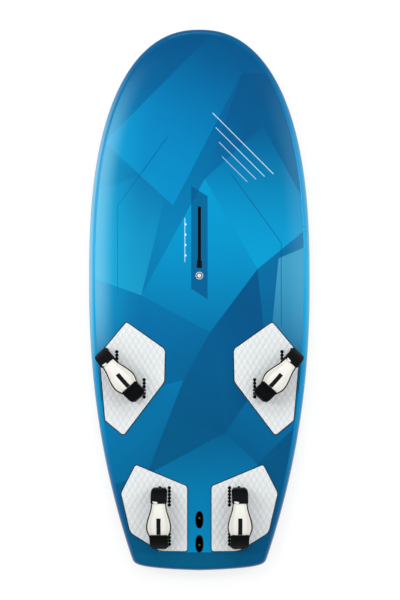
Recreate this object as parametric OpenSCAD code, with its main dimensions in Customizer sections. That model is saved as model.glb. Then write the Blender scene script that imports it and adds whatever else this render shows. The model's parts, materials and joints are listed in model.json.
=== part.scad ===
// Windsurf foil board: a wide, short sandwich hull with a mast track, a vent screw, a deep
// foil box, four deck pads and four footstraps with peel-back end covers.
// Frame: +Y to the nose, +X to starboard, +Z up, origin under the middle of the hull on the
// plane that the flat bottom rests on. Everything is modelled to starboard and mirrored.

/* [Hull] */
// Length from nose to tail
board_length = 2050; // [1980:10:2200]
// Width at the wide point
board_width = 840; // [800:5:900]
// Distance of the wide point ahead of the middle
wide_point = 60; // [20:5:100]
// Width that the sides would have where they reach the tail line
tail_width = 482; // [440:2:520]
// Length of the rounded tail end
tail_cap = 60; // [50:1:80]
// Thickness on the centreline at the vent, where the deck line is level
board_thickness = 112; // [110:1:125]
// How much lower the deck is at the tail than at the vent
tail_drop = 10; // [6:1:14]
// How much higher the deck is at the nose than at the vent
nose_rise = 30; // [20:1:50]
// Height of the bottom at the nose
nose_rocker = 110; // [90:1:125]
// Where the bottom starts to rise, ahead of the middle
rocker_start = 150; // [50:10:250]
// Fall of the deck from the centreline to the rails, by its crown
deck_crown = 30; // [20:1:34]
// Thickness of the sandwich deck
deck_skin_t = 4; // [3:0.5:6]
// Thickness of the bottom laminate
bottom_skin_t = 3; // [2:0.5:5]
// Thickness of the laminate at the rails
rail_skin_t = 4; // [3:0.5:6]
// Space left for adhesive round each fitting
bond_gap = 0.2; // [0.1:0.05:0.4]

/* [Mast track] */
// Centre of the slot, from the tail
track_from_tail = 1265; // [1200:5:1320]
// Length of the slot with its entry
track_length = 232; // [200:2:260]
// Width of the slot
track_slot_w = 10; // [8:0.5:11]
// Length of the entry for the nut
track_entry_l = 27; // [24:1:34]
// Width of the entry for the nut
track_entry_w = 18; // [16:1:24]
// Height of the channel that the nut slides in
track_channel_h = 14; // [10:1:18]
// Plastic over the channel, that the nut pulls against
track_lip_t = 5; // [3:0.5:8]
// Wall of the track box
track_wall = 5; // [3:0.5:8]
// Thickness of the collar that stands round the slot, flush with the deck
track_collar_t = 1; // [0.6:0.1:2]

/* [Foil box] */
// Centre of the box, from the tail
foil_from_tail = 150; // [135:1:200]
// Length of the socket at its mouth
socket_l = 164; // [150:1:175]
// Width of the socket at its mouth
socket_w = 17; // [15:0.5:20]
// Length of the socket at its roof
socket_top_l = 140; // [130:1:150]
// Width of the socket at its roof
socket_top_w = 15; // [13:0.5:18]
// Depth of the socket
socket_depth = 88; // [80:1:90]
// Distance between the two foil bolts
bolt_spacing = 102; // [96:1:110]
// Radius of the foil bolt holes
bolt_hole_r = 4.25; // [3.2:0.05:5.5]
// Distance between the two bolt wells
well_spacing = 91; // [86:1:96]
// Length of a bolt well
well_l = 60; // [50:1:66]
// Width of a bolt well
well_w = 25; // [20:1:32]
// Thickness of the roof that the bolts pull on
bolt_seat_t = 6; // [4:0.5:8]
// Wall of the foil box
foil_wall = 5; // [3:0.5:8]
// Wall of the oval collars round the wells
well_wall = 3; // [2:0.5:5]

/* [Vent] */
// From the slot's aft end to the vent's centre
vent_gap = 29; // [26:1:60]
// Radius of the vent's flange
vent_flange_r = 14; // [12:0.5:17]
// Thickness of the vent's flange
vent_flange_t = 2.5; // [1.5:0.5:4]
// Radius of the vent's body
vent_body_r = 11; // [10:0.5:13]
// Depth of the vent's body
vent_body_h = 30; // [20:1:40]
// Radius of the screw's head
vent_head_r = 7.5; // [6:0.5:8.5]
// Thickness of the screw's head
vent_head_t = 3.5; // [2.5:0.5:5]
// Radius of the screw's thread
vent_shank_r = 4; // [3:0.5:5]
// Length of the thread under the head
vent_shank_l = 14; // [8:1:18]
// Thickness of the O-ring
seal_t = 2.4; // [1.6:0.2:3]

/* [Strap inserts] */
// Distance between the screw holes of a row
hole_pitch = 13; // [12:0.5:16]
// Screw holes in a row
row_holes = 6; // [4:1:8]
// Radius of a screw hole
screw_hole_r = 3.25; // [2.5:0.05:3.6]
// Width of a plastic insert
insert_w = 16; // [14:1:20]
// Depth of a plastic insert
insert_h = 26; // [20:1:34]
// How far the inserts lie below the deck
insert_recess = 0.6; // [0.3:0.1:2]
// Depth of the spare inserts under the deck, which slopes across them
spare_recess = 1.4; // [1.2:0.1:3]
// Distance from a strap's row to the spare row inboard of it
row_step = 35; // [30:1:42]
// Front strap, forward row: in from the rail
front_row_inset = 62; // [56:1:72]
// Front strap, forward row: from the tail
front_row_from_tail = 799; // [780:1:820]
// Front strap, from the forward row to the aft row across the board
front_span_x = 103.5; // [95:0.5:110]
// Front strap, from the forward row to the aft row along the board
front_span_y = 106; // [98:1:114]
// Rear strap, rows from the centreline
rear_row_x = 149; // [140:1:160]
// Rear strap, forward row: from the tail
rear_row_from_tail = 284; // [275:1:295]
// Rear strap, from the forward row to the aft row
rear_span_y = 149; // [142:1:154]

/* [Pads] */
// Thickness of the dark base layer of a pad
pad_base_t = 1.6; // [1:0.2:3]
// Thickness of the pale top layer of a pad
pad_top_t = 5; // [3:0.5:8]
// How far the base layer shows past the top layer
pad_lip = 2; // [1:0.5:4]
// Pads stay this far in from the rail
pad_rail_gap = 30; // [26:1:38]
// Rear pads start this far from the centreline
pad_centre_gap = 43; // [38:1:50]
// Radius of the holes over the inserts
pad_hole_r = 6.8; // [6.6:0.1:8]

/* [Straps] */
// Half the length of a strap outside its end covers
strap_half_l = 112; // [108:1:118]
// Height of a strap over its pad
strap_h = 92; // [80:1:105]
// Half width of a strap at its forward end
strap_fore_w = 28; // [24:1:34]
// Half width of a strap at its widest
strap_mid_w = 47; // [40:1:52]
// Half width of a strap at its aft end
strap_aft_w = 34; // [28:1:40]
// Thickness of the padded cover
cover_t = 6; // [4:0.5:9]
// Thickness of the webbing
webbing_t = 3; // [2:0.5:4]
// Thickness of the neoprene lining
lining_t = 5; // [3:0.5:8]
// Width of the bound edge of a strap
binding_w = 3; // [2:0.5:5]
// Thickness of an end cover
flap_t = 4; // [3:0.5:6]
// Half width of the forward end cover
fore_flap_w = 31; // [27:1:36]
// Half width of the aft end cover
aft_flap_w = 35; // [31:1:40]
// Length of the strap left open between the end covers
flap_gap_l = 114; // [100:2:130]
// Width of the bare tab sewn along the strap
tab_w = 16; // [8:1:18]
// Radius of a screw's shank
screw_r = 3.1; // [2.4:0.05:3.4]
// Radius of a screw's head
screw_head_r = 5.5; // [4.5:0.1:6.5]
// Length of a screw under its head
screw_l = 30; // [24:1:36]
// Thickness of an anti-twist plate
plate_t = 2.5; // [1.5:0.5:4]

/* [Hidden] */

FRONT = 0;
REAR = 1;
FORE = 1;
AFT = -1;

navy = [0.0, 0.30, 0.50];
blue = [0.0, 0.42, 0.68];
foam = [0.93, 0.94, 0.92];
pvc_foam = [0.72, 0.66, 0.48];
pale = [0.90, 0.91, 0.92];
cream = [0.95, 0.94, 0.91];
black = [0.05, 0.05, 0.06];
steel = [0.75, 0.76, 0.78];
red = [0.75, 0.10, 0.10];

half_l = board_length / 2;
half_w = board_width / 2;
tail_y = -half_l;
track_y = tail_y + track_from_tail;
vent_y = track_y - track_length / 2 - vent_gap;
foil_y = tail_y + foil_from_tail;
pad_t = pad_base_t + pad_top_t;

// ---------- hull form ----------

nose_exp = 2.6;     // fullness of the nose along the board
nose_w_exp = 2.26;  // fullness of the nose across the board
side_exp = 2.15;    // how late the sides run in towards the tail
cap_exp = 5.7;      // squareness of the tail end along the board
cap_w_exp = 1.3;    // squareness of the tail end across the board
rocker_exp = 2.2;   // how late the bottom rises
nose_rows = 16;     // mesh rows from the nose to the wide point
side_rows = 14;     // mesh rows from the wide point to the tail end
cap_rows = 10;      // mesh rows round the tail end
rows = nose_rows + side_rows + cap_rows;
cap_y = tail_y + tail_cap;

// Half width of the sides aft of the wide point, before the tail end is rounded.
function side_width(y) =
    half_w - (half_w - tail_width / 2) * pow((wide_point - y) / (wide_point - tail_y), side_exp);

// Half width of the whole outline at station y.
function half_width(y) =
    y >= wide_point
    ? half_w * pow(1 - pow((y - wide_point) / (half_l - wide_point), nose_exp), 1 / nose_w_exp)
    : y >= cap_y
    ? side_width(y)
    : side_width(y) * pow(1 - pow((cap_y - y) / tail_cap, cap_exp), 1 / cap_w_exp);

function rail_x(from_tail) = half_width(tail_y + from_tail);

// Starboard outline point of mesh row j, from the nose (0) to the middle of the tail (rows).
function outline(j) =
    j <= nose_rows
    ? let (a = 90 * (1 - j / nose_rows))
      [half_w * pow(cos(a), 2 / nose_w_exp),
       wide_point + (half_l - wide_point) * pow(sin(a), 2 / nose_exp)]
    : j <= nose_rows + side_rows
    ? let (y = wide_point + (cap_y - wide_point) * (j - nose_rows) / side_rows)
      [side_width(y), y]
    : let (b = 90 * (j - nose_rows - side_rows) / cap_rows,
           y = cap_y - tail_cap * pow(sin(b), 2 / cap_exp))
      [side_width(y) * pow(cos(b), 2 / cap_w_exp), y];

// Each mesh row runs from the spine to the outline; the spine stops short of both ends.
spine_nose = 450;       // ahead of here the rows fan out round the nose
spine_tail = 650;       // aft of here they fan out round the tail
spine_shrink = 0.36;    // how much of the rest of the length the spine still covers
function spine(y) =
    y > spine_nose ? spine_nose + (y - spine_nose) * spine_shrink
    : y < -spine_tail ? -spine_tail + (y + spine_tail) * spine_shrink
    : y;

function deck_line(y) =
    y > vent_y
    ? board_thickness + nose_rise * pow((y - vent_y) / (half_l - vent_y), 2)
    : board_thickness - tail_drop * pow((vent_y - y) / (vent_y - tail_y), 2);

function deck_slope(y) =
    y > vent_y
    ? 2 * nose_rise * (y - vent_y) / pow(half_l - vent_y, 2)
    : 2 * tail_drop * (vent_y - y) / pow(vent_y - tail_y, 2);

function bottom_line(y) =
    y > rocker_start
    ? nose_rocker * pow((y - rocker_start) / (half_l - rocker_start), rocker_exp)
    : 0;

function deck_height(x, y) = deck_line(y) - deck_crown * pow(x / half_w, 2);

function unit(v) = v / norm(v);

function deck_normal(x, y) = unit([2 * deck_crown * x / pow(half_w, 2), -deck_slope(y), 1]);

rail_start = 0.945;     // share of the way out at which the deck rolls into the rail
rail_apex = 0.45;       // height of the rail's widest point, as a share of the edge thickness
rail_steps = 4;
// Columns of the deck mesh: share of the way out, then share of the height above the apex.
deck_flat = [for (s = [0, 0.15, 0.3, 0.45, 0.6, 0.72, 0.83, 0.91]) [s, 1]];
deck_roll = [for (k = [0:rail_steps])
    let (a = 90 * k / rail_steps) [rail_start + (1 - rail_start) * sin(a), cos(a)]];
deck_cols = concat(deck_flat, deck_roll);
inner_deck_cols = [[0, 1], [0.3, 1], [0.6, 1], [0.83, 1], [rail_start, 1], [1, 0]];
// Columns of the bottom mesh: flat to the chine, then a bevel up to the apex.
bottom_cols = [[0, 1], [0.3, 1], [0.55, 1], [0.77, 1], [0.94, 0.52], [0.985, 0.22], [1, 0]];
inner_bottom_cols = [[0, 1], [0.3, 1], [0.55, 1], [0.77, 1], [0.94, 0.52], [1, 0]];

// A point of the hull: mesh row j, column c = [way out, share above or below the apex],
// up = 1 for the deck and 0 for the bottom, inset by the skin's thickness if skin is 1.
function hull_point(j, c, side, up, skin) =
    let (o = outline(j),
         root = [0, spine(outline(max(1, min(rows - 1, j)))[1])],
         reach = norm(o - root),
         edge = root + (o - root) * (1 - skin * rail_skin_t / reach),
         p = root + (edge - root) * c[0],
         low = bottom_line(p[1]) + skin * bottom_skin_t,
         high = deck_height(p[0], p[1]) - skin * deck_skin_t,
         e_low = bottom_line(edge[1]),
         e_high = deck_height(edge[0], edge[1]),
         apex = e_low + (e_high - e_low) * rail_apex)
    [side * p[0], p[1], up == 1 ? apex + (high - apex) * c[1] : apex + (low - apex) * c[1]];

// All the points of one sheet, port edge to starboard edge in every row.
function sheet_points(cols, up, skin) =
    let (n = len(cols) - 1)
    [for (j = [0:rows]) for (k = [-n:n])
        hull_point(j, cols[abs(k)], k < 0 ? -1 : 1, up, skin)];

// Index of a sheet's point. The first and last rows are folded on the centreline, and share
// their spine point with the row beside them.
function at(j, k, n) =
    let (row = k == 0 ? max(1, min(rows - 1, j)) : j)
    row * (2 * n + 1) + n + (row == 0 || row == rows ? abs(k) : k);

function sheet_faces(n, base, flip) =
    [for (j = [0:rows - 1]) for (k = [-n:n - 1])
        let (a = base + at(j, k, n), b = base + at(j, k + 1, n),
             c = base + at(j + 1, k + 1, n), d = base + at(j + 1, k, n))
        each (k >= 0
            ? (flip ? [[a, c, b], [a, d, c]] : [[a, b, c], [a, c, d]])
            : (flip ? [[a, d, b], [b, d, c]] : [[a, b, d], [b, c, d]]))];

function real_faces(faces) = [for (f = faces) if (f[0] != f[1] && f[1] != f[2] && f[0] != f[2]) f];

// The strip that closes a shell along its seam, between the sheets' outer edges.
function seam_faces(n_out, n_in, base_in, flip) =
    [for (j = [0:rows - 1]) for (side = [-1, 1])
        let (a = at(j, side * n_out, n_out), b = at(j + 1, side * n_out, n_out),
             c = base_in + at(j + 1, side * n_in, n_in), d = base_in + at(j, side * n_in, n_in))
        each ((side > 0) != flip ? [[a, d, b], [d, c, b]] : [[a, b, d], [d, b, c]])];

// A laminate shell between an outer and an inner sheet of the hull.
module shell(outer_cols, inner_cols, up) {
    n_out = len(outer_cols) - 1;
    n_in = len(inner_cols) - 1;
    base = (rows + 1) * (2 * n_out + 1);
    polyhedron(
        points = concat(sheet_points(outer_cols, up, 0), sheet_points(inner_cols, up, 1)),
        faces = real_faces(concat(
            sheet_faces(n_out, 0, up == 0),
            sheet_faces(n_in, base, up == 1),
            seam_faces(n_out, n_in, base, up == 0))));
}

// The foam between the two skins. Its bottom sheet shares the deck sheet's edge.
module core_solid() {
    n_top = len(inner_deck_cols) - 1;
    n_low = len(inner_bottom_cols) - 1;
    base = (rows + 1) * (2 * n_top + 1);
    low_faces = [for (j = [0:rows - 1]) for (k = [-n_low:n_low - 1])
        let (a = core_at(j, k, n_top, n_low, base), b = core_at(j, k + 1, n_top, n_low, base),
             c = core_at(j + 1, k + 1, n_top, n_low, base), d = core_at(j + 1, k, n_top, n_low, base))
        each (k >= 0 ? [[a, c, b], [a, d, c]] : [[a, d, b], [b, d, c]])];
    polyhedron(
        points = concat(sheet_points(inner_deck_cols, 1, 1), sheet_points(inner_bottom_cols, 0, 1)),
        faces = real_faces(concat(sheet_faces(n_top, 0, false), low_faces)));
}

function core_at(j, k, n_top, n_low, base) =
    abs(k) == n_low ? at(j, sign(k) * n_top, n_top) : base + at(j, k, n_low);

// ---------- frames on the deck ----------

function cross_frame(origin, along, normal) =
    let (a = unit(along - normal * (along * normal)), x = cross(a, normal))
    [[x[0], a[0], normal[0], origin[0]],
     [x[1], a[1], normal[1], origin[1]],
     [x[2], a[2], normal[2], origin[2]],
     [0, 0, 0, 1]];

function on_deck(x, y, up) = [x, y, deck_height(x, y) + up];

// The row centres and screw centres of a strap's two ends, to starboard.
function row_centre(strap, end, spare) =
    strap == FRONT
    ? [rail_x(front_row_from_tail) - front_row_inset - (end == AFT ? front_span_x : 0)
           - (spare ? row_step : 0),
       tail_y + front_row_from_tail - (end == AFT ? front_span_y : 0)]
    : [rear_row_x - (spare ? row_step : 0),
       tail_y + rear_row_from_tail - (end == AFT ? rear_span_y : 0)];

// The strap's pair of screws straddles one hole of the row, half a pitch from its middle.
function screw_shift(strap, end) = hole_pitch / 2 * (strap == FRONT ? end : -1);

function screw_centre(strap, end) = row_centre(strap, end, false) + [0, screw_shift(strap, end)];

function strap_middle(strap) = (screw_centre(strap, FORE) + screw_centre(strap, AFT)) / 2;

function strap_normal(strap) = let (m = strap_middle(strap)) deck_normal(m[0], m[1]);

seat_gap = 0.3;     // between a strap's webbing and its pad

// Where the axis of a place on the deck meets the strap's seat, over the pad.
function over_pad(strap, c) =
    on_deck(c[0], c[1], 0) + strap_normal(strap) * (pad_t + seat_gap);

function seat_point(strap, end) = over_pad(strap, screw_centre(strap, end));

// Strap frame: x from the forward end to the aft end, z out of the deck.
module strap_frame(strap) {
    fore = seat_point(strap, FORE);
    aft = seat_point(strap, AFT);
    n = strap_normal(strap);
    u = unit((aft - fore) - n * ((aft - fore) * n));
    v = cross(n, u);
    o = (fore + aft) / 2 + n * strap_lift(strap);
    multmatrix([[u[0], v[0], n[0], o[0]], [u[1], v[1], n[1], o[1]], [u[2], v[2], n[2], o[2]],
        [0, 0, 0, 1]])
        children();
}

// The crowned deck stands a little above the chord between the two seats.
function strap_lift(strap) =
    max(0, (over_pad(strap, strap_middle(strap))
        - (seat_point(strap, FORE) + seat_point(strap, AFT)) / 2) * strap_normal(strap));

// Frame of an insert row: y along the row, origin on the deck. A strap's own row stands as the
// strap does, and the spare row beside it is set straight down.
module row_frame(strap, end, spare) {
    c = row_centre(strap, end, spare);
    multmatrix(cross_frame(on_deck(c[0], c[1], 0), [0, 1, 0],
            spare ? [0, 0, 1] : strap_normal(strap)))
        children();
}

// Frame of a strap end: y along the row, z up, origin on the strap's base plane.
module seat_frame(strap, end) {
    c = screw_centre(strap, end);
    s = seat_point(strap, end) + strap_normal(strap) * strap_lift(strap);
    multmatrix(cross_frame(s, [0, 1, 0], strap_normal(strap)))
        children();
}

module port() mirror([1, 0, 0]) children();

// $recess is how deep an insert of the row sits under the deck.
module every_row(strap) for (end = [FORE, AFT]) for (spare = [false, true])
    let ($recess = spare ? spare_recess : insert_recess) row_frame(strap, end, spare) children();

// ---------- plain shapes ----------

// A bar with round ends along y, between heights z0 and z1.
module stadium(l, w, z0, z1) {
    translate([0, 0, z0]) linear_extrude(z1 - z0) union() {
        square([w, l - w], center = true);
        for (side = [-1, 1]) translate([0, side * (l - w) / 2]) circle(d = w, $fn = 32);
    }
}

// The arc that rounds corner b of a path a-b-c, with radius r.
function corner_arc(a, b, c, r) =
    let (ua = unit(a - b), uc = unit(c - b), half = acos(ua * uc) / 2,
         centre = b + unit(ua + uc) * r / sin(half),
         p = b + ua * r / tan(half), q = b + uc * r / tan(half),
         from = atan2(p[1] - centre[1], p[0] - centre[0]),
         turn = atan2(q[1] - centre[1], q[0] - centre[0]) - from,
         sweep = turn > 180 ? turn - 360 : turn < -180 ? turn + 360 : turn,
         n = max(2, ceil(abs(sweep) / 15)))
    [for (i = [0:n]) centre + r * [cos(from + sweep * i / n), sin(from + sweep * i / n)]];

// A closed path of [x, y, radius] corners, with each corner rounded.
function rounded(corners) =
    let (n = len(corners), xy = [for (c = corners) [c[0], c[1]]])
    [for (i = [0:n - 1])
        each corner_arc(xy[(i + n - 1) % n], xy[i], xy[(i + 1) % n], corners[i][2])];

// ---------- hull ----------

row_l = (row_holes - 1) * hole_pitch + insert_w;

module insert_pockets(gap) {
    for (side = [0, 1]) mirror([side, 0, 0]) for (strap = [FRONT, REAR]) every_row(strap)
        stadium(row_l + 2 * gap, insert_w + 2 * gap, -insert_h - $recess - gap, 6);
}

module deck_skin() color(blue) difference() {
    shell(deck_cols, inner_deck_cols, 1);
    insert_pockets(bond_gap);
    track_frame() track_collar(bond_gap, -2 * deck_skin_t, 2 * deck_skin_t);
    well_collars(bond_gap, board_thickness - 4 * deck_skin_t - tail_drop, board_thickness);
    translate([0, vent_y, board_thickness - 2 * deck_skin_t])
        cylinder(r = vent_flange_r + bond_gap, h = 4 * deck_skin_t, $fn = 48);
}

module bottom_skin() color(navy) difference() {
    shell(bottom_cols, inner_bottom_cols, 0);
    translate([0, foil_y, 0]) stadium(foil_body_l + 2 * bond_gap, foil_body_w + 2 * bond_gap,
        -bottom_skin_t, 2 * bottom_skin_t);
}

module foam_core() color(foam) difference() {
    core_solid();
    insert_pockets(bond_gap);
    track_frame() {
        track_block_solid(bond_gap);
        // The pocket is open up to the deck laminate.
        rounded_bar(track_body_l + 2 * (block_end + bond_gap), track_body_w + 2 * (block_side + bond_gap),
            12, track_base, 1);
    }
    foil_block_solid(bond_gap);
    translate([0, foil_y, 0])
        stadium(foil_body_l + 2 * bond_gap, foil_body_w + 2 * bond_gap, 0, board_thickness);
    translate([0, vent_y, board_thickness - vent_body_h - bond_gap])
        cylinder(r = vent_body_r + bond_gap, h = vent_body_h + 1, $fn = 48);
    translate([0, vent_y, board_thickness - vent_flange_t - bond_gap])
        cylinder(r = vent_flange_r + bond_gap, h = vent_flange_t + 1, $fn = 48);
}

// ---------- mast track ----------

track_body_w = track_entry_w + 2 * (1 + track_wall);
track_body_l = track_length + 2 * track_wall + 10;
track_top = -deck_skin_t - bond_gap;
track_roof = track_top - track_lip_t;
track_floor = track_roof - track_channel_h;
track_base = track_floor - track_wall;
entry_y = -track_length / 2 + track_entry_l / 2;
block_side = 20;    // foam block to each side of the track box
block_end = 4;      // foam block past each end of it
block_under = 18;   // foam block under it
block_sink = 0.8;   // its flat top stays clear of the crowned deck laminate

module track_frame() {
    multmatrix(cross_frame(on_deck(0, track_y, 0), [0, 1, 0], deck_normal(0, track_y)))
        children();
}

// Outline of the collar that fills the deck's slot, for a gap round it.
module track_collar(gap, z0, z1) {
    grow = 2 * (track_collar_t + gap);
    stadium(track_length + grow, track_slot_w + grow, z0, z1);
    translate([0, entry_y, 0])
        rounded_bar(track_entry_l + grow, track_entry_w + grow, 3 + gap, z0, z1);
}

// A bar with rounded corners along y.
module rounded_bar(l, w, r, z0, z1) {
    translate([0, 0, z0]) linear_extrude(z1 - z0)
        polygon(rounded([[-w / 2, -l / 2, r], [w / 2, -l / 2, r], [w / 2, l / 2, r], [-w / 2, l / 2, r]]));
}

module mast_track_box() color(black) track_frame() difference() {
    union() {
        rounded_bar(track_body_l, track_body_w, 6, track_base, track_top);
        track_collar(0, track_top - 1, 0);
        // Cross ribs that key the box into its block.
        for (y = [-1.5:1:1.5]) translate([0, y * track_body_l / 4, (track_base + track_roof) / 2])
            cube([track_body_w + 6, 4, track_roof - track_base - 4], center = true);
    }
    stadium(track_length, track_slot_w, track_roof - 1, 1);
    translate([0, entry_y, 0]) rounded_bar(track_entry_l, track_entry_w, 3, track_roof - 1, 1);
    rounded_bar(track_length + 4, track_entry_w + 2, 3, track_floor, track_roof);
}

module track_block_solid(gap) {
    l = track_body_l + 2 * (block_end + gap);
    w = track_body_w + 2 * (block_side + gap);
    rounded_bar(l, w, 12, track_base - block_under - gap, track_top - block_sink + gap);
}

module mast_track_block() color(pvc_foam) track_frame() difference() {
    track_block_solid(0);
    rounded_bar(track_body_l + 2 * bond_gap, track_body_w + 2 * bond_gap, 6 + bond_gap,
        track_base - bond_gap, 1);
    for (y = [-1.5:1:1.5]) translate([0, y * track_body_l / 4, (track_base + track_roof) / 2])
        cube([track_body_w + 6 + 2 * bond_gap, 4 + 2 * bond_gap,
            track_roof - track_base - 4 + 2 * bond_gap], center = true);
}

// ---------- foil box ----------

foil_body_l = socket_l + 2 * foil_wall + 4;
foil_body_w = well_w + 2 * well_wall;
seat_z = socket_depth + bolt_seat_t;
foil_block_side = 22;   // foam block to each side of the foil box
foil_block_end = 1.8;   // foam block past each end of it, inside the tail's upturn

function well_y(side) = foil_y + side * well_spacing / 2;

module well_collars(gap, z0, z1) {
    for (side = [-1, 1]) translate([0, well_y(side), 0])
        stadium(well_l + 2 * (well_wall + gap), well_w + 2 * (well_wall + gap), z0, z1);
}

// The tapered socket, blended between its mouth and its roof.
module foil_socket() {
    hull() {
        stadium(socket_l, socket_w, -0.01, 0);
        stadium(socket_top_l, socket_top_w, socket_depth - 0.01, socket_depth);
    }
}

module foil_box() color(black) difference() {
    union() {
        translate([0, foil_y, 0]) stadium(foil_body_l, foil_body_w, 0, seat_z);
        well_collars(0, seat_z - 1, board_thickness);
    }
    translate([0, foil_y, 0]) foil_socket();
    for (side = [-1, 1]) {
        translate([0, well_y(side), 0]) stadium(well_l, well_w, seat_z, board_thickness + 1);
        translate([0, foil_y + side * bolt_spacing / 2, socket_depth - 1])
            cylinder(r = bolt_hole_r, h = bolt_seat_t + 2, $fn = 32);
    }
    // The collars end flush with the sloping deck.
    multmatrix(cross_frame(on_deck(0, foil_y, -0.3), [0, 1, 0], deck_normal(0, foil_y)))
        translate([-foil_body_w, -foil_body_l, 0]) cube([2 * foil_body_w, 2 * foil_body_l, 40]);
}

module foil_block_solid(gap) {
    l = foil_body_l + 2 * (foil_block_end + gap);
    w = foil_body_w + 2 * (foil_block_side + gap);
    top = deck_height(w / 2, foil_y - l / 2) - deck_skin_t - 0.5;
    translate([0, foil_y, 0]) rounded_bar(l, w, 14, bottom_skin_t + bond_gap - gap, top + gap);
}

module foil_box_block() color(pvc_foam) difference() {
    foil_block_solid(0);
    translate([0, foil_y, 0])
        stadium(foil_body_l + 2 * bond_gap, foil_body_w + 2 * bond_gap, 0, board_thickness);
    well_collars(bond_gap, 0, board_thickness);
}

// ---------- vent ----------

vent_recess_r = vent_head_r + 1.5;
vent_recess = seal_t + vent_head_t + 0.8;
running_gap = 0.08;

module vent_frame() translate([0, vent_y, board_thickness]) children();

module vent_housing() color(pale) vent_frame() difference() {
    union() {
        translate([0, 0, -vent_flange_t]) cylinder(r = vent_flange_r, h = vent_flange_t, $fn = 64);
        translate([0, 0, -vent_body_h]) cylinder(r = vent_body_r, h = vent_body_h, $fn = 48);
    }
    translate([0, 0, -vent_recess]) cylinder(r = vent_recess_r, h = vent_recess + 1, $fn = 48);
    translate([0, 0, -vent_body_h - 1])
        cylinder(r = vent_shank_r + running_gap, h = vent_body_h, $fn = 48);
}

module vent_seal() color(red) vent_frame() translate([0, 0, -vent_recess + seal_t / 2])
    rotate_extrude($fn = 48)
        translate([vent_shank_r + running_gap + seal_t / 2, 0]) circle(d = seal_t, $fn = 24);

module vent_screw() color(cream) vent_frame() translate([0, 0, -vent_recess + seal_t])
    difference() {
        union() {
            cylinder(r = vent_head_r, h = vent_head_t, $fn = 48);
            translate([0, 0, -vent_shank_l]) cylinder(r = vent_shank_r, h = vent_shank_l + 1, $fn = 48);
        }
        // Slot for a coin, and the breathing hole down the middle.
        translate([0, 0, vent_head_t]) cube([2, 1.5 * vent_head_r, 3], center = true);
        translate([0, 0, -vent_shank_l - 1]) cylinder(r = 1, h = vent_shank_l + vent_head_t + 2, $fn = 24);
    }

// ---------- strap inserts ----------

module strap_inserts(strap) color(black) every_row(strap) difference() {
    stadium(row_l, insert_w, -insert_h - $recess, -$recess);
    for (k = [0:row_holes - 1])
        translate([0, (k - (row_holes - 1) / 2) * hole_pitch, insert_recess - insert_h - $recess])
            cylinder(r = screw_hole_r, h = insert_h + 2, $fn = 32);
}

// ---------- pads ----------

// Corners of the pads to starboard: x, distance from the tail, and corner radius.
function pad_corners(strap) =
    strap == FRONT
    ? [[277, 948, 12], [127, 842, 26], [130, 717, 30], [287, 510, 14],
       [rail_x(570) - pad_rail_gap + 6, 570, 16], [rail_x(822) - pad_rail_gap, 822, 16]]
    : [[243, 407, 8], [pad_centre_gap, 324, 16], [pad_centre_gap, 73, 3], [150, 74, 60],
       [264, 144, 40], [rail_x(296) - pad_rail_gap, 296, 26]];

function pad_outline(strap) =
    rounded([for (c = pad_corners(strap)) [c[0], tail_y + c[1], c[2]]]);

pad_rows = [[17, 26], [26, rows - 2]]; // mesh rows of the deck that the pads lie on
pad_cols = len(deck_flat);             // and the columns, out to where the rail starts

// A layer of even thickness that lies on the deck's own facets.
module deck_layer(strap, z0, z1) {
    j0 = pad_rows[strap][0];
    m = pad_rows[strap][1] - j0;
    n = pad_cols;
    sheet = [for (j = [0:m]) for (k = [0:n]) hull_point(j0 + j, deck_cols[k], 1, 1, 0)];
    count = len(sheet);
    function id(j, k, top) = (top ? count : 0) + j * (n + 1) + k;
    polyhedron(
        points = concat([for (p = sheet) p + [0, 0, z0]], [for (p = sheet) p + [0, 0, z1]]),
        faces = concat(
            [for (j = [0:m - 1]) for (k = [0:n - 1]) each [
                [id(j, k, true), id(j, k + 1, true), id(j + 1, k + 1, true)],
                [id(j, k, true), id(j + 1, k + 1, true), id(j + 1, k, true)],
                [id(j, k, false), id(j + 1, k + 1, false), id(j, k + 1, false)],
                [id(j, k, false), id(j + 1, k, false), id(j + 1, k + 1, false)]]],
            [for (j = [0:m - 1]) each [
                [id(j, 0, true), id(j + 1, 0, true), id(j + 1, 0, false), id(j, 0, false)],
                [id(j, n, false), id(j + 1, n, false), id(j + 1, n, true), id(j, n, true)]]],
            [for (k = [0:n - 1]) each [
                [id(0, k, false), id(0, k + 1, false), id(0, k + 1, true), id(0, k, true)],
                [id(m, k, true), id(m, k + 1, true), id(m, k + 1, false), id(m, k, false)]]]));
}

module pad_holes(strap) every_row(strap)
    for (k = [0:row_holes - 1]) translate([0, (k - (row_holes - 1) / 2) * hole_pitch, -2])
        cylinder(r = pad_hole_r, h = pad_t + 6, $fn = 32);

module pad_layer(strap, z0, z1, inset) difference() {
    intersection() {
        deck_layer(strap, z0, z1);
        linear_extrude(2 * board_thickness) offset(delta = -inset) polygon(pad_outline(strap));
    }
    pad_holes(strap);
}

module pad_base(strap) color(black) pad_layer(strap, 0, pad_base_t, 0);
module pad_top(strap) color(pale) pad_layer(strap, pad_base_t, pad_t, pad_lip);

// ---------- straps ----------

strap_waist = 24;       // height at which a strap is longest
strap_exp = 2.2;        // squareness of the arch
arch_steps = 24;
foot_r = 11;            // radius of the turn from the arch to the tongue
widest_at = 32;         // where along the strap the widest point lies, aft of its middle
fore_taper = 92;        // length over which it narrows forward
aft_taper = 48;         // and aft
tongue_end = 54;        // the tongues end this far from the strap's middle
sole_gap = 12;          // the lining ends this high over the pad
plate_w = 14;           // width of an anti-twist plate
screw_head_t = 3.2;
webbing_o = cover_t;                // inset of the webbing from the cover's outside
lining_o = cover_t + webbing_t;     // inset of the lining
inside_o = lining_o + lining_t;     // inset of the space for the foot

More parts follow.
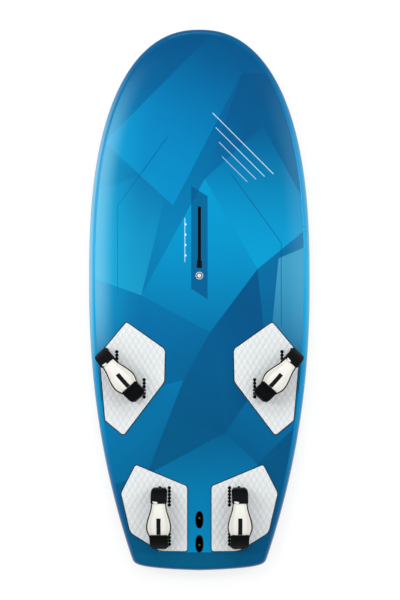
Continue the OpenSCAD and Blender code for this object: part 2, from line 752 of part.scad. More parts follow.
// Side view of the strap's arch, inset by o all round, standing on height z0.
function arch(o, z0, r) =
    let (a = strap_half_l - o, b = strap_h - strap_waist - o)
    concat(
        [for (i = [0:arch_steps]) let (t = 180 * i / arch_steps)
            [a * sign(cos(t)) * pow(abs(cos(t)), 2 / strap_exp),
             strap_waist + b * pow(sin(t), 2 / strap_exp)]],
        [for (i = [0:4]) let (t = 180 + 22.5 * i) [-a + r + r * cos(t), z0 + r + r * sin(t)]],
        [for (i = [0:4]) let (t = 270 + 22.5 * i) [a - r + r * cos(t), z0 + r + r * sin(t)]]);

function smooth(t) = 0.5 - 0.5 * cos(180 * max(0, min(1, t)));

// Half width of a strap at x along it.
function strap_width(x) =
    x < widest_at
    ? strap_fore_w + (strap_mid_w - strap_fore_w) * smooth(1 - (widest_at - x) / fore_taper)
    : strap_aft_w + (strap_mid_w - strap_aft_w) * smooth(1 - (x - widest_at) / aft_taper);

plan_step = 8;
function plan_path(inset) =
    let (xs = [for (i = [-ceil((strap_half_l + 2) / plan_step):ceil((strap_half_l + 2) / plan_step)])
        i * plan_step])
    concat([for (x = xs) [x, -(strap_width(x) - inset)]],
           [for (i = [len(xs) - 1:-1:0]) [xs[i], strap_width(xs[i]) - inset]]);

// A band of the arch between two insets, as wide as the strap less an inset, above a height.
module band(o1, o2, w_inset, from_z) {
    intersection() {
        rotate([90, 0, 0]) translate([0, 0, -strap_mid_w - 1]) linear_extrude(2 * strap_mid_w + 2)
            intersection() {
                difference() {
                    polygon(arch(o1, 0, foot_r));
                    polygon(arch(o2, webbing_t, foot_r - webbing_t));
                }
                translate([-2 * strap_half_l, from_z]) square([4 * strap_half_l, 2 * strap_h]);
            }
        linear_extrude(2 * strap_h) polygon(plan_path(w_inset));
    }
}

module strap_cover(strap) color(cream) strap_frame(strap)
    band(0, webbing_o, binding_w, foot_r);

module strap_lining(strap) color(black) strap_frame(strap)
    band(lining_o, inside_o, binding_w, sole_gap);

module strap_binding(strap) color(black) strap_frame(strap) difference() {
    band(0, inside_o, 0, sole_gap);
    linear_extrude(2 * strap_h) polygon(plan_path(binding_w));
}

module strap_webbing(strap) color(black) difference() {
    strap_frame(strap) intersection() {
        rotate([90, 0, 0]) translate([0, 0, -strap_mid_w - 1]) linear_extrude(2 * strap_mid_w + 2)
            difference() {
                polygon(arch(webbing_o, 0, foot_r));
                polygon(arch(lining_o, webbing_t, foot_r - webbing_t));
                translate([-tongue_end, -1]) square([2 * tongue_end, webbing_t + 2]);
            }
        linear_extrude(2 * strap_h) polygon(plan_path(binding_w));
    }
    for (end = [FORE, AFT]) screw_places(strap, end) translate([0, 0, -1])
        cylinder(r = screw_r + 0.4, h = webbing_t + 2, $fn = 32);
}

module strap_tab(strap) color(black) strap_frame(strap) intersection() {
    rotate([90, 0, 0]) translate([0, 0, -tab_w / 2]) linear_extrude(tab_w) difference() {
        polygon(arch(-1, 0, foot_r));
        polygon(arch(0, 0, foot_r));
    }
    translate([-4, -tab_w, 0]) cube([flap_gap_l / 2 + 3, 2 * tab_w, 2 * strap_h]);
}

flap_clear = 0.3;       // between an end cover and the strap
flap_foot = 9;          // an end cover ends this high over the pad
flap_corner = 12;

// An end cover wraps the arch from its foot to the open middle, and turns on its lower edge.
module strap_flap(strap, end) color(black) strap_frame(strap) intersection() {
    w = end == FORE ? fore_flap_w : aft_flap_w;
    rotate([90, 0, 0]) translate([0, 0, -w - 1]) linear_extrude(2 * w + 2) intersection() {
        difference() {
            polygon(arch(-flap_clear - flap_t, 0, foot_r + flap_t));
            polygon(arch(-flap_clear, 0, foot_r));
        }
        translate([end == FORE ? -2 * strap_half_l : flap_gap_l / 2, flap_foot])
            square([2 * strap_half_l - flap_gap_l / 2, 2 * strap_h]);
    }
    linear_extrude(2 * strap_h) mirror([end == FORE ? 1 : 0, 0, 0]) polygon(rounded([
        [0, -w, 5], [strap_half_l + flap_t + flap_clear + 1, -w, flap_corner],
        [strap_half_l + flap_t + flap_clear + 1, w, flap_corner], [0, w, 5]]));
}

module screw_places(strap, end) seat_frame(strap, end)
    for (side = [-1, 1]) translate([0, side * hole_pitch, 0]) children();

module strap_plates(strap) color(black) for (end = [FORE, AFT]) difference() {
    seat_frame(strap, end) union() {
        stadium(2 * hole_pitch + plate_w, plate_w, webbing_t, webbing_t + plate_t);
        // A raised rim stiffens the plate.
        difference() {
            stadium(2 * hole_pitch + plate_w, plate_w, webbing_t, webbing_t + plate_t + 1);
            stadium(2 * hole_pitch + plate_w - 2, plate_w - 2, webbing_t, webbing_t + plate_t + 2);
        }
    }
    screw_places(strap, end) cylinder(r = screw_r + 0.2, h = 3 * plate_t + webbing_t, $fn = 32);
}

module strap_screws(strap) color(steel) for (end = [FORE, AFT]) screw_places(strap, end)
    translate([0, 0, webbing_t + plate_t]) difference() {
        union() {
            translate([0, 0, -screw_l]) cylinder(r = screw_r, h = screw_l + 0.5, $fn = 32);
            cylinder(r = screw_head_r, h = screw_head_t, $fn = 32);
        }
        // Cross recess.
        translate([0, 0, screw_head_t]) for (a = [0, 90]) rotate(a) cube([1.4, 6, 3], center = true);
    }

// ---------- what is drawn ----------

foam_core();
deck_skin();
bottom_skin();
mast_track_box();
mast_track_block();
foil_box();
foil_box_block();
vent_housing();
vent_seal();
vent_screw();
port() strap_inserts(FRONT);  // front_left_inserts
strap_inserts(FRONT);  // front_right_inserts
port() strap_inserts(REAR);  // rear_left_inserts
strap_inserts(REAR);  // rear_right_inserts
port() pad_base(FRONT);  // front_left_pad_base
pad_base(FRONT);  // front_right_pad_base
port() pad_base(REAR);  // rear_left_pad_base
pad_base(REAR);  // rear_right_pad_base
port() pad_top(FRONT);  // front_left_pad
pad_top(FRONT);  // front_right_pad
port() pad_top(REAR);  // rear_left_pad
pad_top(REAR);  // rear_right_pad
port() strap_webbing(FRONT);  // front_left_webbing
strap_webbing(FRONT);  // front_right_webbing
port() strap_webbing(REAR);  // rear_left_webbing
strap_webbing(REAR);  // rear_right_webbing
port() strap_lining(FRONT);  // front_left_lining
strap_lining(FRONT);  // front_right_lining
port() strap_lining(REAR);  // rear_left_lining
strap_lining(REAR);  // rear_right_lining
port() strap_cover(FRONT);  // front_left_cover
strap_cover(FRONT);  // front_right_cover
port() strap_cover(REAR);  // rear_left_cover
strap_cover(REAR);  // rear_right_cover
port() strap_binding(FRONT);  // front_left_binding
strap_binding(FRONT);  // front_right_binding
port() strap_binding(REAR);  // rear_left_binding
strap_binding(REAR);  // rear_right_binding
port() strap_tab(FRONT);  // front_left_tab
strap_tab(FRONT);  // front_right_tab
port() strap_tab(REAR);  // rear_left_tab
strap_tab(REAR);  // rear_right_tab
port() strap_flap(FRONT, FORE);  // front_left_fore_flap
strap_flap(FRONT, FORE);  // front_right_fore_flap
port() strap_flap(REAR, FORE);  // rear_left_fore_flap
strap_flap(REAR, FORE);  // rear_right_fore_flap
port() strap_flap(FRONT, AFT);  // front_left_aft_flap
strap_flap(FRONT, AFT);  // front_right_aft_flap
port() strap_flap(REAR, AFT);  // rear_left_aft_flap
strap_flap(REAR, AFT);  // rear_right_aft_flap
port() strap_plates(FRONT);  // front_left_plates
strap_plates(FRONT);  // front_right_plates
port() strap_plates(REAR);  // rear_left_plates
strap_plates(REAR);  // rear_right_plates
port() strap_screws(FRONT);  // front_left_screws
strap_screws(FRONT);  // front_right_screws
port() strap_screws(REAR);  // rear_left_screws
strap_screws(REAR);  // rear_right_screws
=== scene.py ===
"""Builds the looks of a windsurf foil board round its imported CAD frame.

The hull, the grooved deck pads and the padded footstraps are modelled here in full detail and
ride on the bodies of the frame. Everything is in metres, in the frame's own axes: +Y to the
nose, +X to starboard, +Z up.
"""

from __future__ import annotations

import json
import logging
import math
from collections.abc import Callable, Iterable, Iterator, Sequence
from dataclasses import dataclass, field
from enum import Enum

import bmesh
import bpy
import numpy as np
from mathutils import Matrix, Vector

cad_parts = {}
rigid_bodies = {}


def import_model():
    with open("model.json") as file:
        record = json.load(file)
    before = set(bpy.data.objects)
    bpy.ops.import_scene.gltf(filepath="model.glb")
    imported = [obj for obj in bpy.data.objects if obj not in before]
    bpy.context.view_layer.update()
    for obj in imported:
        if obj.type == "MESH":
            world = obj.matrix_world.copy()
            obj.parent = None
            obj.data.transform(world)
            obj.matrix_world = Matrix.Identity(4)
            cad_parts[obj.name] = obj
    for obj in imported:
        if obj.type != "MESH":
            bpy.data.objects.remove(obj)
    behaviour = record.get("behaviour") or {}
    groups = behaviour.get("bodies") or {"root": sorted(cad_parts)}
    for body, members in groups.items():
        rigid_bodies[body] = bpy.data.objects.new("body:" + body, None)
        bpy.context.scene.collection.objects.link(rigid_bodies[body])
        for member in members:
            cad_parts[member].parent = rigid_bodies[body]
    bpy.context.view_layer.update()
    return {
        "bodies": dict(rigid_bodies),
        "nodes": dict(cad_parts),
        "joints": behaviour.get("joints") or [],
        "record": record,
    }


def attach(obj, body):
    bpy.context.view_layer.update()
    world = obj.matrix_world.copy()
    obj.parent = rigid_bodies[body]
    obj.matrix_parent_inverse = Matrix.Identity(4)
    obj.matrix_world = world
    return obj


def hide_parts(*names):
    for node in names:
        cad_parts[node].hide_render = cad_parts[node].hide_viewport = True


log = logging.getLogger("board")

MM = 0.001
Colour = tuple[float, float, float, float]
Point2 = tuple[float, float]


def srgb(code: str) -> Colour:
    """Turn a written colour into the linear values that a shader takes.

    Args:
        code: Six hexadecimal digits.

    Returns:
        Linear red, green, blue and alpha.
    """
    parts = [int(code[i : i + 2], 16) / 255 for i in (0, 2, 4)]
    linear = [c / 12.92 if c <= 0.04045 else ((c + 0.055) / 1.055) ** 2.4 for c in parts]
    return (linear[0], linear[1], linear[2], 1.0)


def smooth(value: float) -> float:
    """Ease a share from 0 to 1, held outside that range."""
    value = min(1.0, max(0.0, value))
    return value * value * (3 - 2 * value)


def signed_power(value: float, power: float) -> float:
    """Raise the size of a value to a power and keep its sign."""
    return math.copysign(abs(value) ** power, value)


# ---------------------------------------------------------------- shader maths


class Wire:
    """A shader socket that takes part in Python arithmetic."""

    def __init__(self, graph: Graph, socket: bpy.types.NodeSocket) -> None:
        """Wrap one output socket of a graph."""
        self.graph = graph
        self.socket = socket

    def math(self, operation: str, *others: Wire | float, clamp: bool = False) -> Wire:
        """Feed this value, and others after it, to a Math node."""
        node = self.graph.node(
            "ShaderNodeMath",
            {"operation": operation, "use_clamp": clamp},
            dict(enumerate([self, *others])),
        )
        return Wire(self.graph, node.outputs[0])

    def __add__(self, other: Wire | float) -> Wire:
        """Add."""
        return self.math("ADD", other)

    __radd__ = __add__

    def __sub__(self, other: Wire | float) -> Wire:
        """Take other from this."""
        return self.math("SUBTRACT", other)

    def __rsub__(self, other: float) -> Wire:
        """Take this from a number."""
        node = self.graph.node("ShaderNodeMath", {"operation": "SUBTRACT"}, {0: other, 1: self})
        return Wire(self.graph, node.outputs[0])

    def __mul__(self, other: Wire | float) -> Wire:
        """Multiply."""
        return self.math("MULTIPLY", other)

    __rmul__ = __mul__

    def __truediv__(self, other: Wire | float) -> Wire:
        """Divide by other."""
        return self.math("DIVIDE", other)

    def clamped(self) -> Wire:
        """Hold the value between 0 and 1."""
        return self.math("ADD", 0.0, clamp=True)

    def size(self) -> Wire:
        """Drop the sign."""
        return self.math("ABSOLUTE")

    def ramp(self, low: float, high: float) -> Wire:
        """Ease from 0 at low to 1 at high, which may lie the other way round.

        Args:
            low: Value at which the result is 0.
            high: Value at which the result is 1.

        Returns:
            The eased share.
        """
        node = self.graph.node(
            "ShaderNodeMapRange",
            {"interpolation_type": "SMOOTHSTEP", "clamp": True},
            {"Value": self, "From Min": low, "From Max": high, "To Min": 0.0, "To Max": 1.0},
        )
        return Wire(self.graph, node.outputs["Result"])

    def band(self, centre: float, half: float, soft: float) -> Wire:
        """Make 1 within half of centre, easing to 0 over soft."""
        return (self - centre).size().ramp(half + soft, half)


class Graph:
    """The node tree of one material or world, with the few nodes that they need here."""

    def __init__(self, name: str, world: bool = False) -> None:
        """Start an empty material, or a world, of that name."""
        self.material = (bpy.data.worlds if world else bpy.data.materials).new(name)
        self.material.use_nodes = True
        self.tree = self.material.node_tree
        self.tree.nodes.clear()

    def node(
        self, kind: str, settings: dict[str, object], inputs: dict[str | int, object]
    ) -> bpy.types.Node:
        """Add one node.

        Args:
            kind: The node's type.
            settings: Its properties, set first. A ramp's stops go under "stops".
            inputs: Values, colour codes or wires for its sockets, by name or number.

        Returns:
            The new node.
        """
        node = self.tree.nodes.new(kind)
        for key, value in settings.items():
            if key == "stops":
                self._stops(node, value)
            else:
                setattr(node, key, value)
        for key, value in inputs.items():
            if isinstance(value, Wire):
                self.tree.links.new(value.socket, node.inputs[key])
            else:
                node.inputs[key].default_value = srgb(value) if isinstance(value, str) else value
        return node

    @staticmethod
    def _stops(node: bpy.types.Node, stops: Sequence[tuple[float, str]]) -> None:
        """Give a ramp its stops, which are positions and colours in order."""
        ramp = node.color_ramp
        while len(ramp.elements) > 1:
            ramp.elements.remove(ramp.elements[-1])
        ramp.elements[0].position, ramp.elements[0].color = stops[0][0], srgb(stops[0][1])
        for position, code in stops[1:]:
            ramp.elements.new(position).color = srgb(code)

    def wire(self, kind: str, settings: dict, inputs: dict, output: str | int = 0) -> Wire:
        """Add a node and wrap one of its outputs."""
        return Wire(self, self.node(kind, settings, inputs).outputs[output])

    def place(self) -> Wire:
        """Give the point on the object, as a vector."""
        return self.wire("ShaderNodeTexCoord", {}, {}, "Object")

    def cloth(self) -> Wire:
        """Give the piece's own UV map, in metres along and across it."""
        return self.wire("ShaderNodeUVMap", {"uv_map": "Cloth"}, {})

    def layer(self, name: str) -> Wire:
        """Give one of the piece's own values, by its name."""
        return self.wire("ShaderNodeAttribute", {"attribute_name": name}, {}, "Fac")

    def blend(self, share: Wire, first: bpy.types.Node, second: bpy.types.Node, end: str) -> None:
        """End the tree in two shaders, blended by a share of the second."""
        mix = self.node("ShaderNodeMixShader", {}, {0: share})
        output = self.node(end, {}, {})
        self.tree.links.new(first.outputs[0], mix.inputs[1])
        self.tree.links.new(second.outputs[0], mix.inputs[2])
        self.tree.links.new(mix.outputs[0], output.inputs["Surface"])

    def rays(self, *kinds: str) -> Wire:
        """Tell whether a ray is of one of some kinds."""
        path = self.node("ShaderNodeLightPath", {}, {})
        wires = [Wire(self, path.outputs[f"Is {kind} Ray"]) for kind in kinds]
        return sum(wires[1:], wires[0]).clamped()

    def split(self, vector: Wire) -> tuple[Wire, Wire, Wire]:
        """Take a vector apart into its three values."""
        node = self.node("ShaderNodeSeparateXYZ", {}, {0: vector})
        return tuple(Wire(self, output) for output in node.outputs)

    def stretched(self, vector: Wire, scale: Sequence[float]) -> Wire:
        """Scale a vector along its axes."""
        return self.wire("ShaderNodeMapping", {}, {"Vector": vector, "Scale": tuple(scale)})

    def noise(self, vector: Wire, scale: float, detail: float = 2.0, rough: float = 0.5) -> Wire:
        """Make a cloudy value between 0 and 1."""
        inputs = {"Vector": vector, "Scale": scale, "Detail": detail, "Roughness": rough}
        return self.wire("ShaderNodeTexNoise", {}, inputs, "Fac")

    def cells(self, vector: Wire, scale: float) -> Wire:
        """Make the distance to the nearest of many scattered points."""
        return self.wire("ShaderNodeTexVoronoi", {}, {"Vector": vector, "Scale": scale}, "Distance")

    def mix(self, share: Wire | float, first: object, second: object) -> Wire:
        """Blend two colours or wires, by a share of the second."""
        settings = {"data_type": "RGBA", "blend_type": "MIX", "clamp_factor": True}
        return self.wire("ShaderNodeMix", settings, {0: share, 6: first, 7: second}, 2)

    def ramp(self, value: Wire, stops: Sequence[tuple[float, str]]) -> Wire:
        """Turn a value between 0 and 1 into a colour."""
        return self.wire("ShaderNodeValToRGB", {"stops": stops}, {0: value}, "Color")

    def bump(
        self, height: Wire, distance: float, strength: float = 1.0, under: Wire | None = None
    ) -> Wire:
        """Turn a height into a normal.

        Args:
            height: The height, between 0 and 1.
            distance: How many metres a height of 1 stands for.
            strength: How much of it shows.
            under: Another normal that this one is laid on.

        Returns:
            The bumped normal.
        """
        inputs: dict[str | int, object] = {"Height": height, "Distance": distance, "Strength": strength}
        if under is not None:
            inputs["Normal"] = under
        return self.wire("ShaderNodeBump", {}, inputs, "Normal")

    def finish(self, **sockets: object) -> bpy.types.Material:
        """End the material in a Principled surface.

        Args:
            sockets: Values or wires by socket name, with _ for a space.

        Returns:
            The material.
        """
        inputs = {key.replace("_", " "): value for key, value in sockets.items()}
        surface = self.node("ShaderNodeBsdfPrincipled", {}, inputs)
        output = self.node("ShaderNodeOutputMaterial", {}, {})
        self.tree.links.new(surface.outputs["BSDF"], output.inputs["Surface"])
        return self.material


# ---------------------------------------------------------------- mesh helpers


class Shell:
    """A mesh in the making, and the few moves that several pieces share."""

    def __init__(self) -> None:
        """Start with nothing."""
        self.bm = bmesh.new()

    def grid(
        self,
        across: int,
        along: int,
        place: Callable[[float, float], Vector],
        cloth: Callable[[float, float], Point2] | None = None,
    ) -> Shell:
        """Lay a grid over a surface.

        Args:
            across: Cells along the first share.
            along: Cells along the second share.
            place: Gives the point at two shares between 0 and 1.
            cloth: Gives the UV there, where the piece needs one.

        Returns:
            This shell.
        """
        made = bmesh.ops.create_grid(self.bm, x_segments=across, y_segments=along, size=1.0)
        shares = {v: ((v.co.x + 1) / 2, (v.co.y + 1) / 2) for v in made["verts"]}
        if cloth is not None:
            layer = self.bm.loops.layers.uv.get("Cloth") or self.bm.loops.layers.uv.new("Cloth")
            for face in {f for v in made["verts"] for f in v.link_faces}:
                for loop in face.loops:
                    loop[layer].uv = cloth(*shares[loop.vert])
        for vert, (a, b) in shares.items():
            vert.co = place(a, b)
        return self

    def weld(self, distance: float = 1e-5) -> Shell:
        """Merge points that lie together and drop what collapses."""
        bmesh.ops.remove_doubles(self.bm, verts=self.bm.verts, dist=distance)
        bmesh.ops.dissolve_degenerate(self.bm, edges=self.bm.edges, dist=distance / 2)
        return self

    def cap(self) -> Shell:
        """Close the open ends."""
        rim = [e for e in self.bm.edges if e.is_boundary]
        if rim:
            bmesh.ops.holes_fill(self.bm, edges=rim, sides=0)
        return self

    def outward(self) -> Shell:
        """Turn every face to point outwards."""
        bmesh.ops.recalc_face_normals(self.bm, faces=self.bm.faces)
        return self

    def rod(
        self, radius: float, low: float, high: float, centre: Point2, sides: int
    ) -> list[bmesh.types.BMVert]:
        """Add an upright cylinder between two heights and return its points."""
        matrix = Matrix.Translation((centre[0], centre[1], (low + high) / 2))
        made = bmesh.ops.create_cone(
            self.bm,
            cap_ends=True,
            segments=sides,
            radius1=radius,
            radius2=radius,
            depth=high - low,
            matrix=matrix,
        )
        return made["verts"]

    def prism(self, outline: Sequence[Point2], low: float, high: float) -> list[bmesh.types.BMVert]:
        """Add an upright prism over an outline and return its points."""
        ring = [self.bm.verts.new((x, y, low)) for x, y in outline]
        face = self.bm.faces.new(ring)
        made = bmesh.ops.extrude_face_region(self.bm, geom=[face])
        top = [g for g in made["geom"] if isinstance(g, bmesh.types.BMVert)]
        bmesh.ops.translate(self.bm, verts=top, vec=(0, 0, high - low))
        return ring + top

    def soften(self, width: float, steps: int = 2, sharpest: float = 30.0) -> Shell:
        """Bevel the sharp edges.

        Args:
            width: Width of the bevel.
            steps: Segments in it.
            sharpest: Edges that turn by more than this many degrees are bevelled.

        Returns:
            This shell.
        """
        limit = math.radians(sharpest)
        sharp = [e for e in self.bm.edges if len(e.link_faces) == 2 and e.calc_face_angle(0) > limit]
        bmesh.ops.bevel(
            self.bm,
            geom=sharp,
            offset=width,
            segments=steps,
            profile=0.5,
            affect="EDGES",
            material=-1,
            clamp_overlap=True,
        )
        return self

    def move(self, matrix: Matrix) -> Shell:
        """Place the whole mesh, and keep it outside out where the move mirrors it."""
        bmesh.ops.transform(self.bm, matrix=matrix, verts=self.bm.verts)
        if matrix.determinant() < 0:
            bmesh.ops.reverse_faces(self.bm, faces=self.bm.faces)
        return self

    def join(self, other: Shell) -> Shell:
        """Add another shell's mesh to this one."""
        spare = bpy.data.meshes.new("spare")
        other.bm.to_mesh(spare)
        self.bm.from_mesh(spare)
        bpy.data.meshes.remove(spare)
        return self

    def piece(self, name: str, soft: bool = True) -> bpy.types.Object:
        """Turn the mesh into an object.

        Args:
            name: The piece's name.
            soft: Shade its faces smoothly, apart from edges over 40 degrees.

        Returns:
            The object, at the origin.
        """
        mesh = bpy.data.meshes.new(name)
        self.bm.to_mesh(mesh)
        self.bm.free()
        obj = bpy.data.objects.new(name, mesh)
        bpy.context.scene.collection.objects.link(obj)
        if soft:
            shade(obj, 40.0)
        return obj


def shade(obj: bpy.types.Object, limit: float) -> None:
    """Shade smoothly, with edges that turn by more than limit degrees left sharp."""
    mesh = obj.data
    mesh.shade_smooth()
    mesh.set_sharp_from_angle(angle=math.radians(limit))


def settle(obj: bpy.types.Object) -> None:
    """Apply a piece's modifiers."""
    graph = bpy.context.evaluated_depsgraph_get()
    mesh = bpy.data.meshes.new_from_object(obj.evaluated_get(graph), depsgraph=graph)
    old = obj.data
    obj.modifiers.clear()
    obj.data = mesh
    mesh.name = obj.name
    bpy.data.meshes.remove(old)


def carve(obj: bpy.types.Object, cutter: Shell) -> None:
    """Cut a shell's volume out of a piece."""
    tool = cutter.outward().piece("cutter", soft=False)
    cut = obj.modifiers.new("cut", "BOOLEAN")
    cut.operation = "DIFFERENCE"
    cut.solver = "MANIFOLD"
    cut.object = tool
    settle(obj)
    mesh = tool.data
    bpy.data.objects.remove(tool)
    bpy.data.meshes.remove(mesh)


def wear(obj: bpy.types.Object, material: bpy.types.Material) -> None:
    """Give a piece one material."""
    obj.data.materials.clear()
    obj.data.materials.append(material)
    for polygon in obj.data.polygons:
        polygon.material_index = 0


def stadium(length: float, width: float, centre: Point2 = (0.0, 0.0), steps: int = 16) -> list[Point2]:
    """Outline a bar with round ends that lies along Y."""
    radius, straight = width / 2, (length - width) / 2
    points = []
    for end in (1, -1):
        for i in range(steps + 1):
            angle = math.pi * i / steps + (0 if end > 0 else math.pi)
            points.append(
                (centre[0] + radius * math.cos(angle), centre[1] + end * straight + radius * math.sin(angle))
            )
    return points


def rounded(corners: Sequence[tuple[float, float, float]], step: float = 10.0) -> list[Point2]:
    """Round the corners of a closed path.

    Args:
        corners: X, Y and radius of each corner.
        step: Degrees between points on a corner.

    Returns:
        The points of the rounded path.
    """
    points: list[Point2] = []
    count = len(corners)
    for i, (x, y, radius) in enumerate(corners):
        here = Vector((x, y))
        back = (Vector(corners[i - 1][:2]) - here).normalized()
        ahead = (Vector(corners[(i + 1) % count][:2]) - here).normalized()
        half = back.angle(ahead) / 2
        centre = here + (back + ahead).normalized() * (radius / math.sin(half))
        first = here + back * (radius / math.tan(half)) - centre
        last = here + ahead * (radius / math.tan(half)) - centre
        start = math.atan2(first.y, first.x)
        sweep = (math.atan2(last.y, last.x) - start + math.pi) % (2 * math.pi) - math.pi
        steps = max(2, math.ceil(abs(math.degrees(sweep)) / step))
        for k in range(steps + 1):
            angle = start + sweep * k / steps
            points.append((centre.x + radius * math.cos(angle), centre.y + radius * math.sin(angle)))
    return points


# ---------------------------------------------------------------- the hull's form


@dataclass(frozen=True)
class HullForm:
    """The hull's lines, as the maker's drawing gives them."""

    length: float = 2.050
    width: float = 0.840
    wide_point: float = 0.060
    tail_width: float = 0.482
    tail_cap: float = 0.060
    thickness: float = 0.112
    tail_drop: float = 0.010
    nose_rise: float = 0.030
    nose_rocker: float = 0.110
    rocker_start: float = 0.150
    crown: float = 0.030
    vent_from_tail: float = 1.120
    rail_start: float = 0.945
    rail_apex: float = 0.45
    nose_share: float = 0.44
    side_share: float = 0.36

    @property
    def tail(self) -> float:
        """Y of the tail."""
        return -self.length / 2

    @property
    def vent_y(self) -> float:
        """Y of the vent, where the deck line is level."""
        return self.tail + self.vent_from_tail

    def side_width(self, y: float) -> float:
        """Half width aft of the wide point, before the tail end is rounded."""
        run = (self.wide_point - y) / (self.wide_point - self.tail)
        return self.width / 2 - (self.width - self.tail_width) / 2 * max(0.0, run) ** 2.15

    def half_width(self, y: float) -> float:
        """Half width of the outline at a station."""
        cap = self.tail + self.tail_cap
        if y >= self.wide_point:
            run = (y - self.wide_point) / (self.length / 2 - self.wide_point)
            return self.width / 2 * max(0.0, 1 - run**2.6) ** (1 / 2.26)
        if y >= cap:
            return self.side_width(y)
        return self.side_width(y) * max(0.0, 1 - ((cap - y) / self.tail_cap) ** 5.7) ** (1 / 1.3)

    def outline(self, share: float) -> Point2:
        """Give the starboard outline point at a share of the way from nose to tail."""
        side_end = self.nose_share + self.side_share
        cap = self.tail + self.tail_cap
        if share <= self.nose_share:
            angle = math.pi / 2 * (1 - share / self.nose_share)
            x = self.width / 2 * max(0.0, math.cos(angle)) ** (2 / 2.26)
            reach = self.length / 2 - self.wide_point
            return (0.0 if share <= 0 else x, self.wide_point + reach * math.sin(angle) ** (2 / 2.6))
        if share <= side_end:
            y = self.wide_point + (cap - self.wide_point) * (share - self.nose_share) / self.side_share
            return (self.side_width(y), y)
        angle = math.pi / 2 * (share - side_end) / (1 - side_end)
        y = cap - self.tail_cap * math.sin(angle) ** (2 / 5.7)
        return (0.0 if share >= 1 else self.side_width(y) * math.cos(angle) ** (2 / 1.3), y)

    @staticmethod
    def spine(y: float) -> float:
        """Give the point on the centreline from which a row runs out to the outline."""
        if y > 0.45:
            return 0.45 + (y - 0.45) * 0.36
        if y < -0.65:
            return -0.65 + (y + 0.65) * 0.36
        return y

    def deck_line(self, y: float) -> float:
        """Height of the deck on the centreline."""
        if y > self.vent_y:
            run = (y - self.vent_y) / (self.length / 2 - self.vent_y)
            return self.thickness + self.nose_rise * run**2
        run = (self.vent_y - y) / (self.vent_y - self.tail)
        return self.thickness - self.tail_drop * run**2

    def deck(self, x: float, y: float) -> float:
        """Height of the deck."""
        return self.deck_line(y) - self.crown * (x / (self.width / 2)) ** 2

    def deck_normal(self, x: float, y: float) -> Vector:
        """Direction square to the deck."""
        if y > self.vent_y:
            slope = 2 * self.nose_rise * (y - self.vent_y) / (self.length / 2 - self.vent_y) ** 2
        else:
            slope = 2 * self.tail_drop * (self.vent_y - y) / (self.vent_y - self.tail) ** 2
        return Vector((2 * self.crown * x / (self.width / 2) ** 2, -slope, 1)).normalized()

    def bottom(self, y: float) -> float:
        """Height of the bottom on the centreline."""
        if y <= self.rocker_start:
            return 0.0
        run = (y - self.rocker_start) / (self.length / 2 - self.rocker_start)
        return self.nose_rocker * run**2.2

    def point(self, share: float, out: float, lift: float, side: int, up: bool) -> Vector:
        """Give a point of the hull's surface.

        Args:
            share: Share of the way from nose to tail.
            out: Share of the way from the spine to the outline.
            lift: Share of the way from the rail's widest line to the deck or the bottom.
            side: 1 to starboard, -1 to port.
            up: True for the deck.

        Returns:
            The point.
        """
        edge = self.outline(share)
        root = self.spine(self.outline(min(0.998, max(0.002, share)))[1])
        x, y = edge[0] * out, root + (edge[1] - root) * out
        low, high = self.bottom(edge[1]), self.deck(*edge)
        apex = low + (high - low) * self.rail_apex
        level = self.deck(x, y) if up else self.bottom(y)
        return Vector((side * x, y, apex + (level - apex) * lift))


FORM = HullForm()


# ---------------------------------------------------------------- finishes


@dataclass(frozen=True)
class Facet:
    """One flat shard of the deck's print."""

    corners: tuple[Point2, ...]
    colour: str
    strength: float
    fade_from: Point2
    fade_to: Point2


@dataclass(frozen=True)
class Stripe:
    """One thin printed line, straight between two points."""

    start: Point2
    end: Point2
    width: float
    colour: str
    strength: float = 1.0


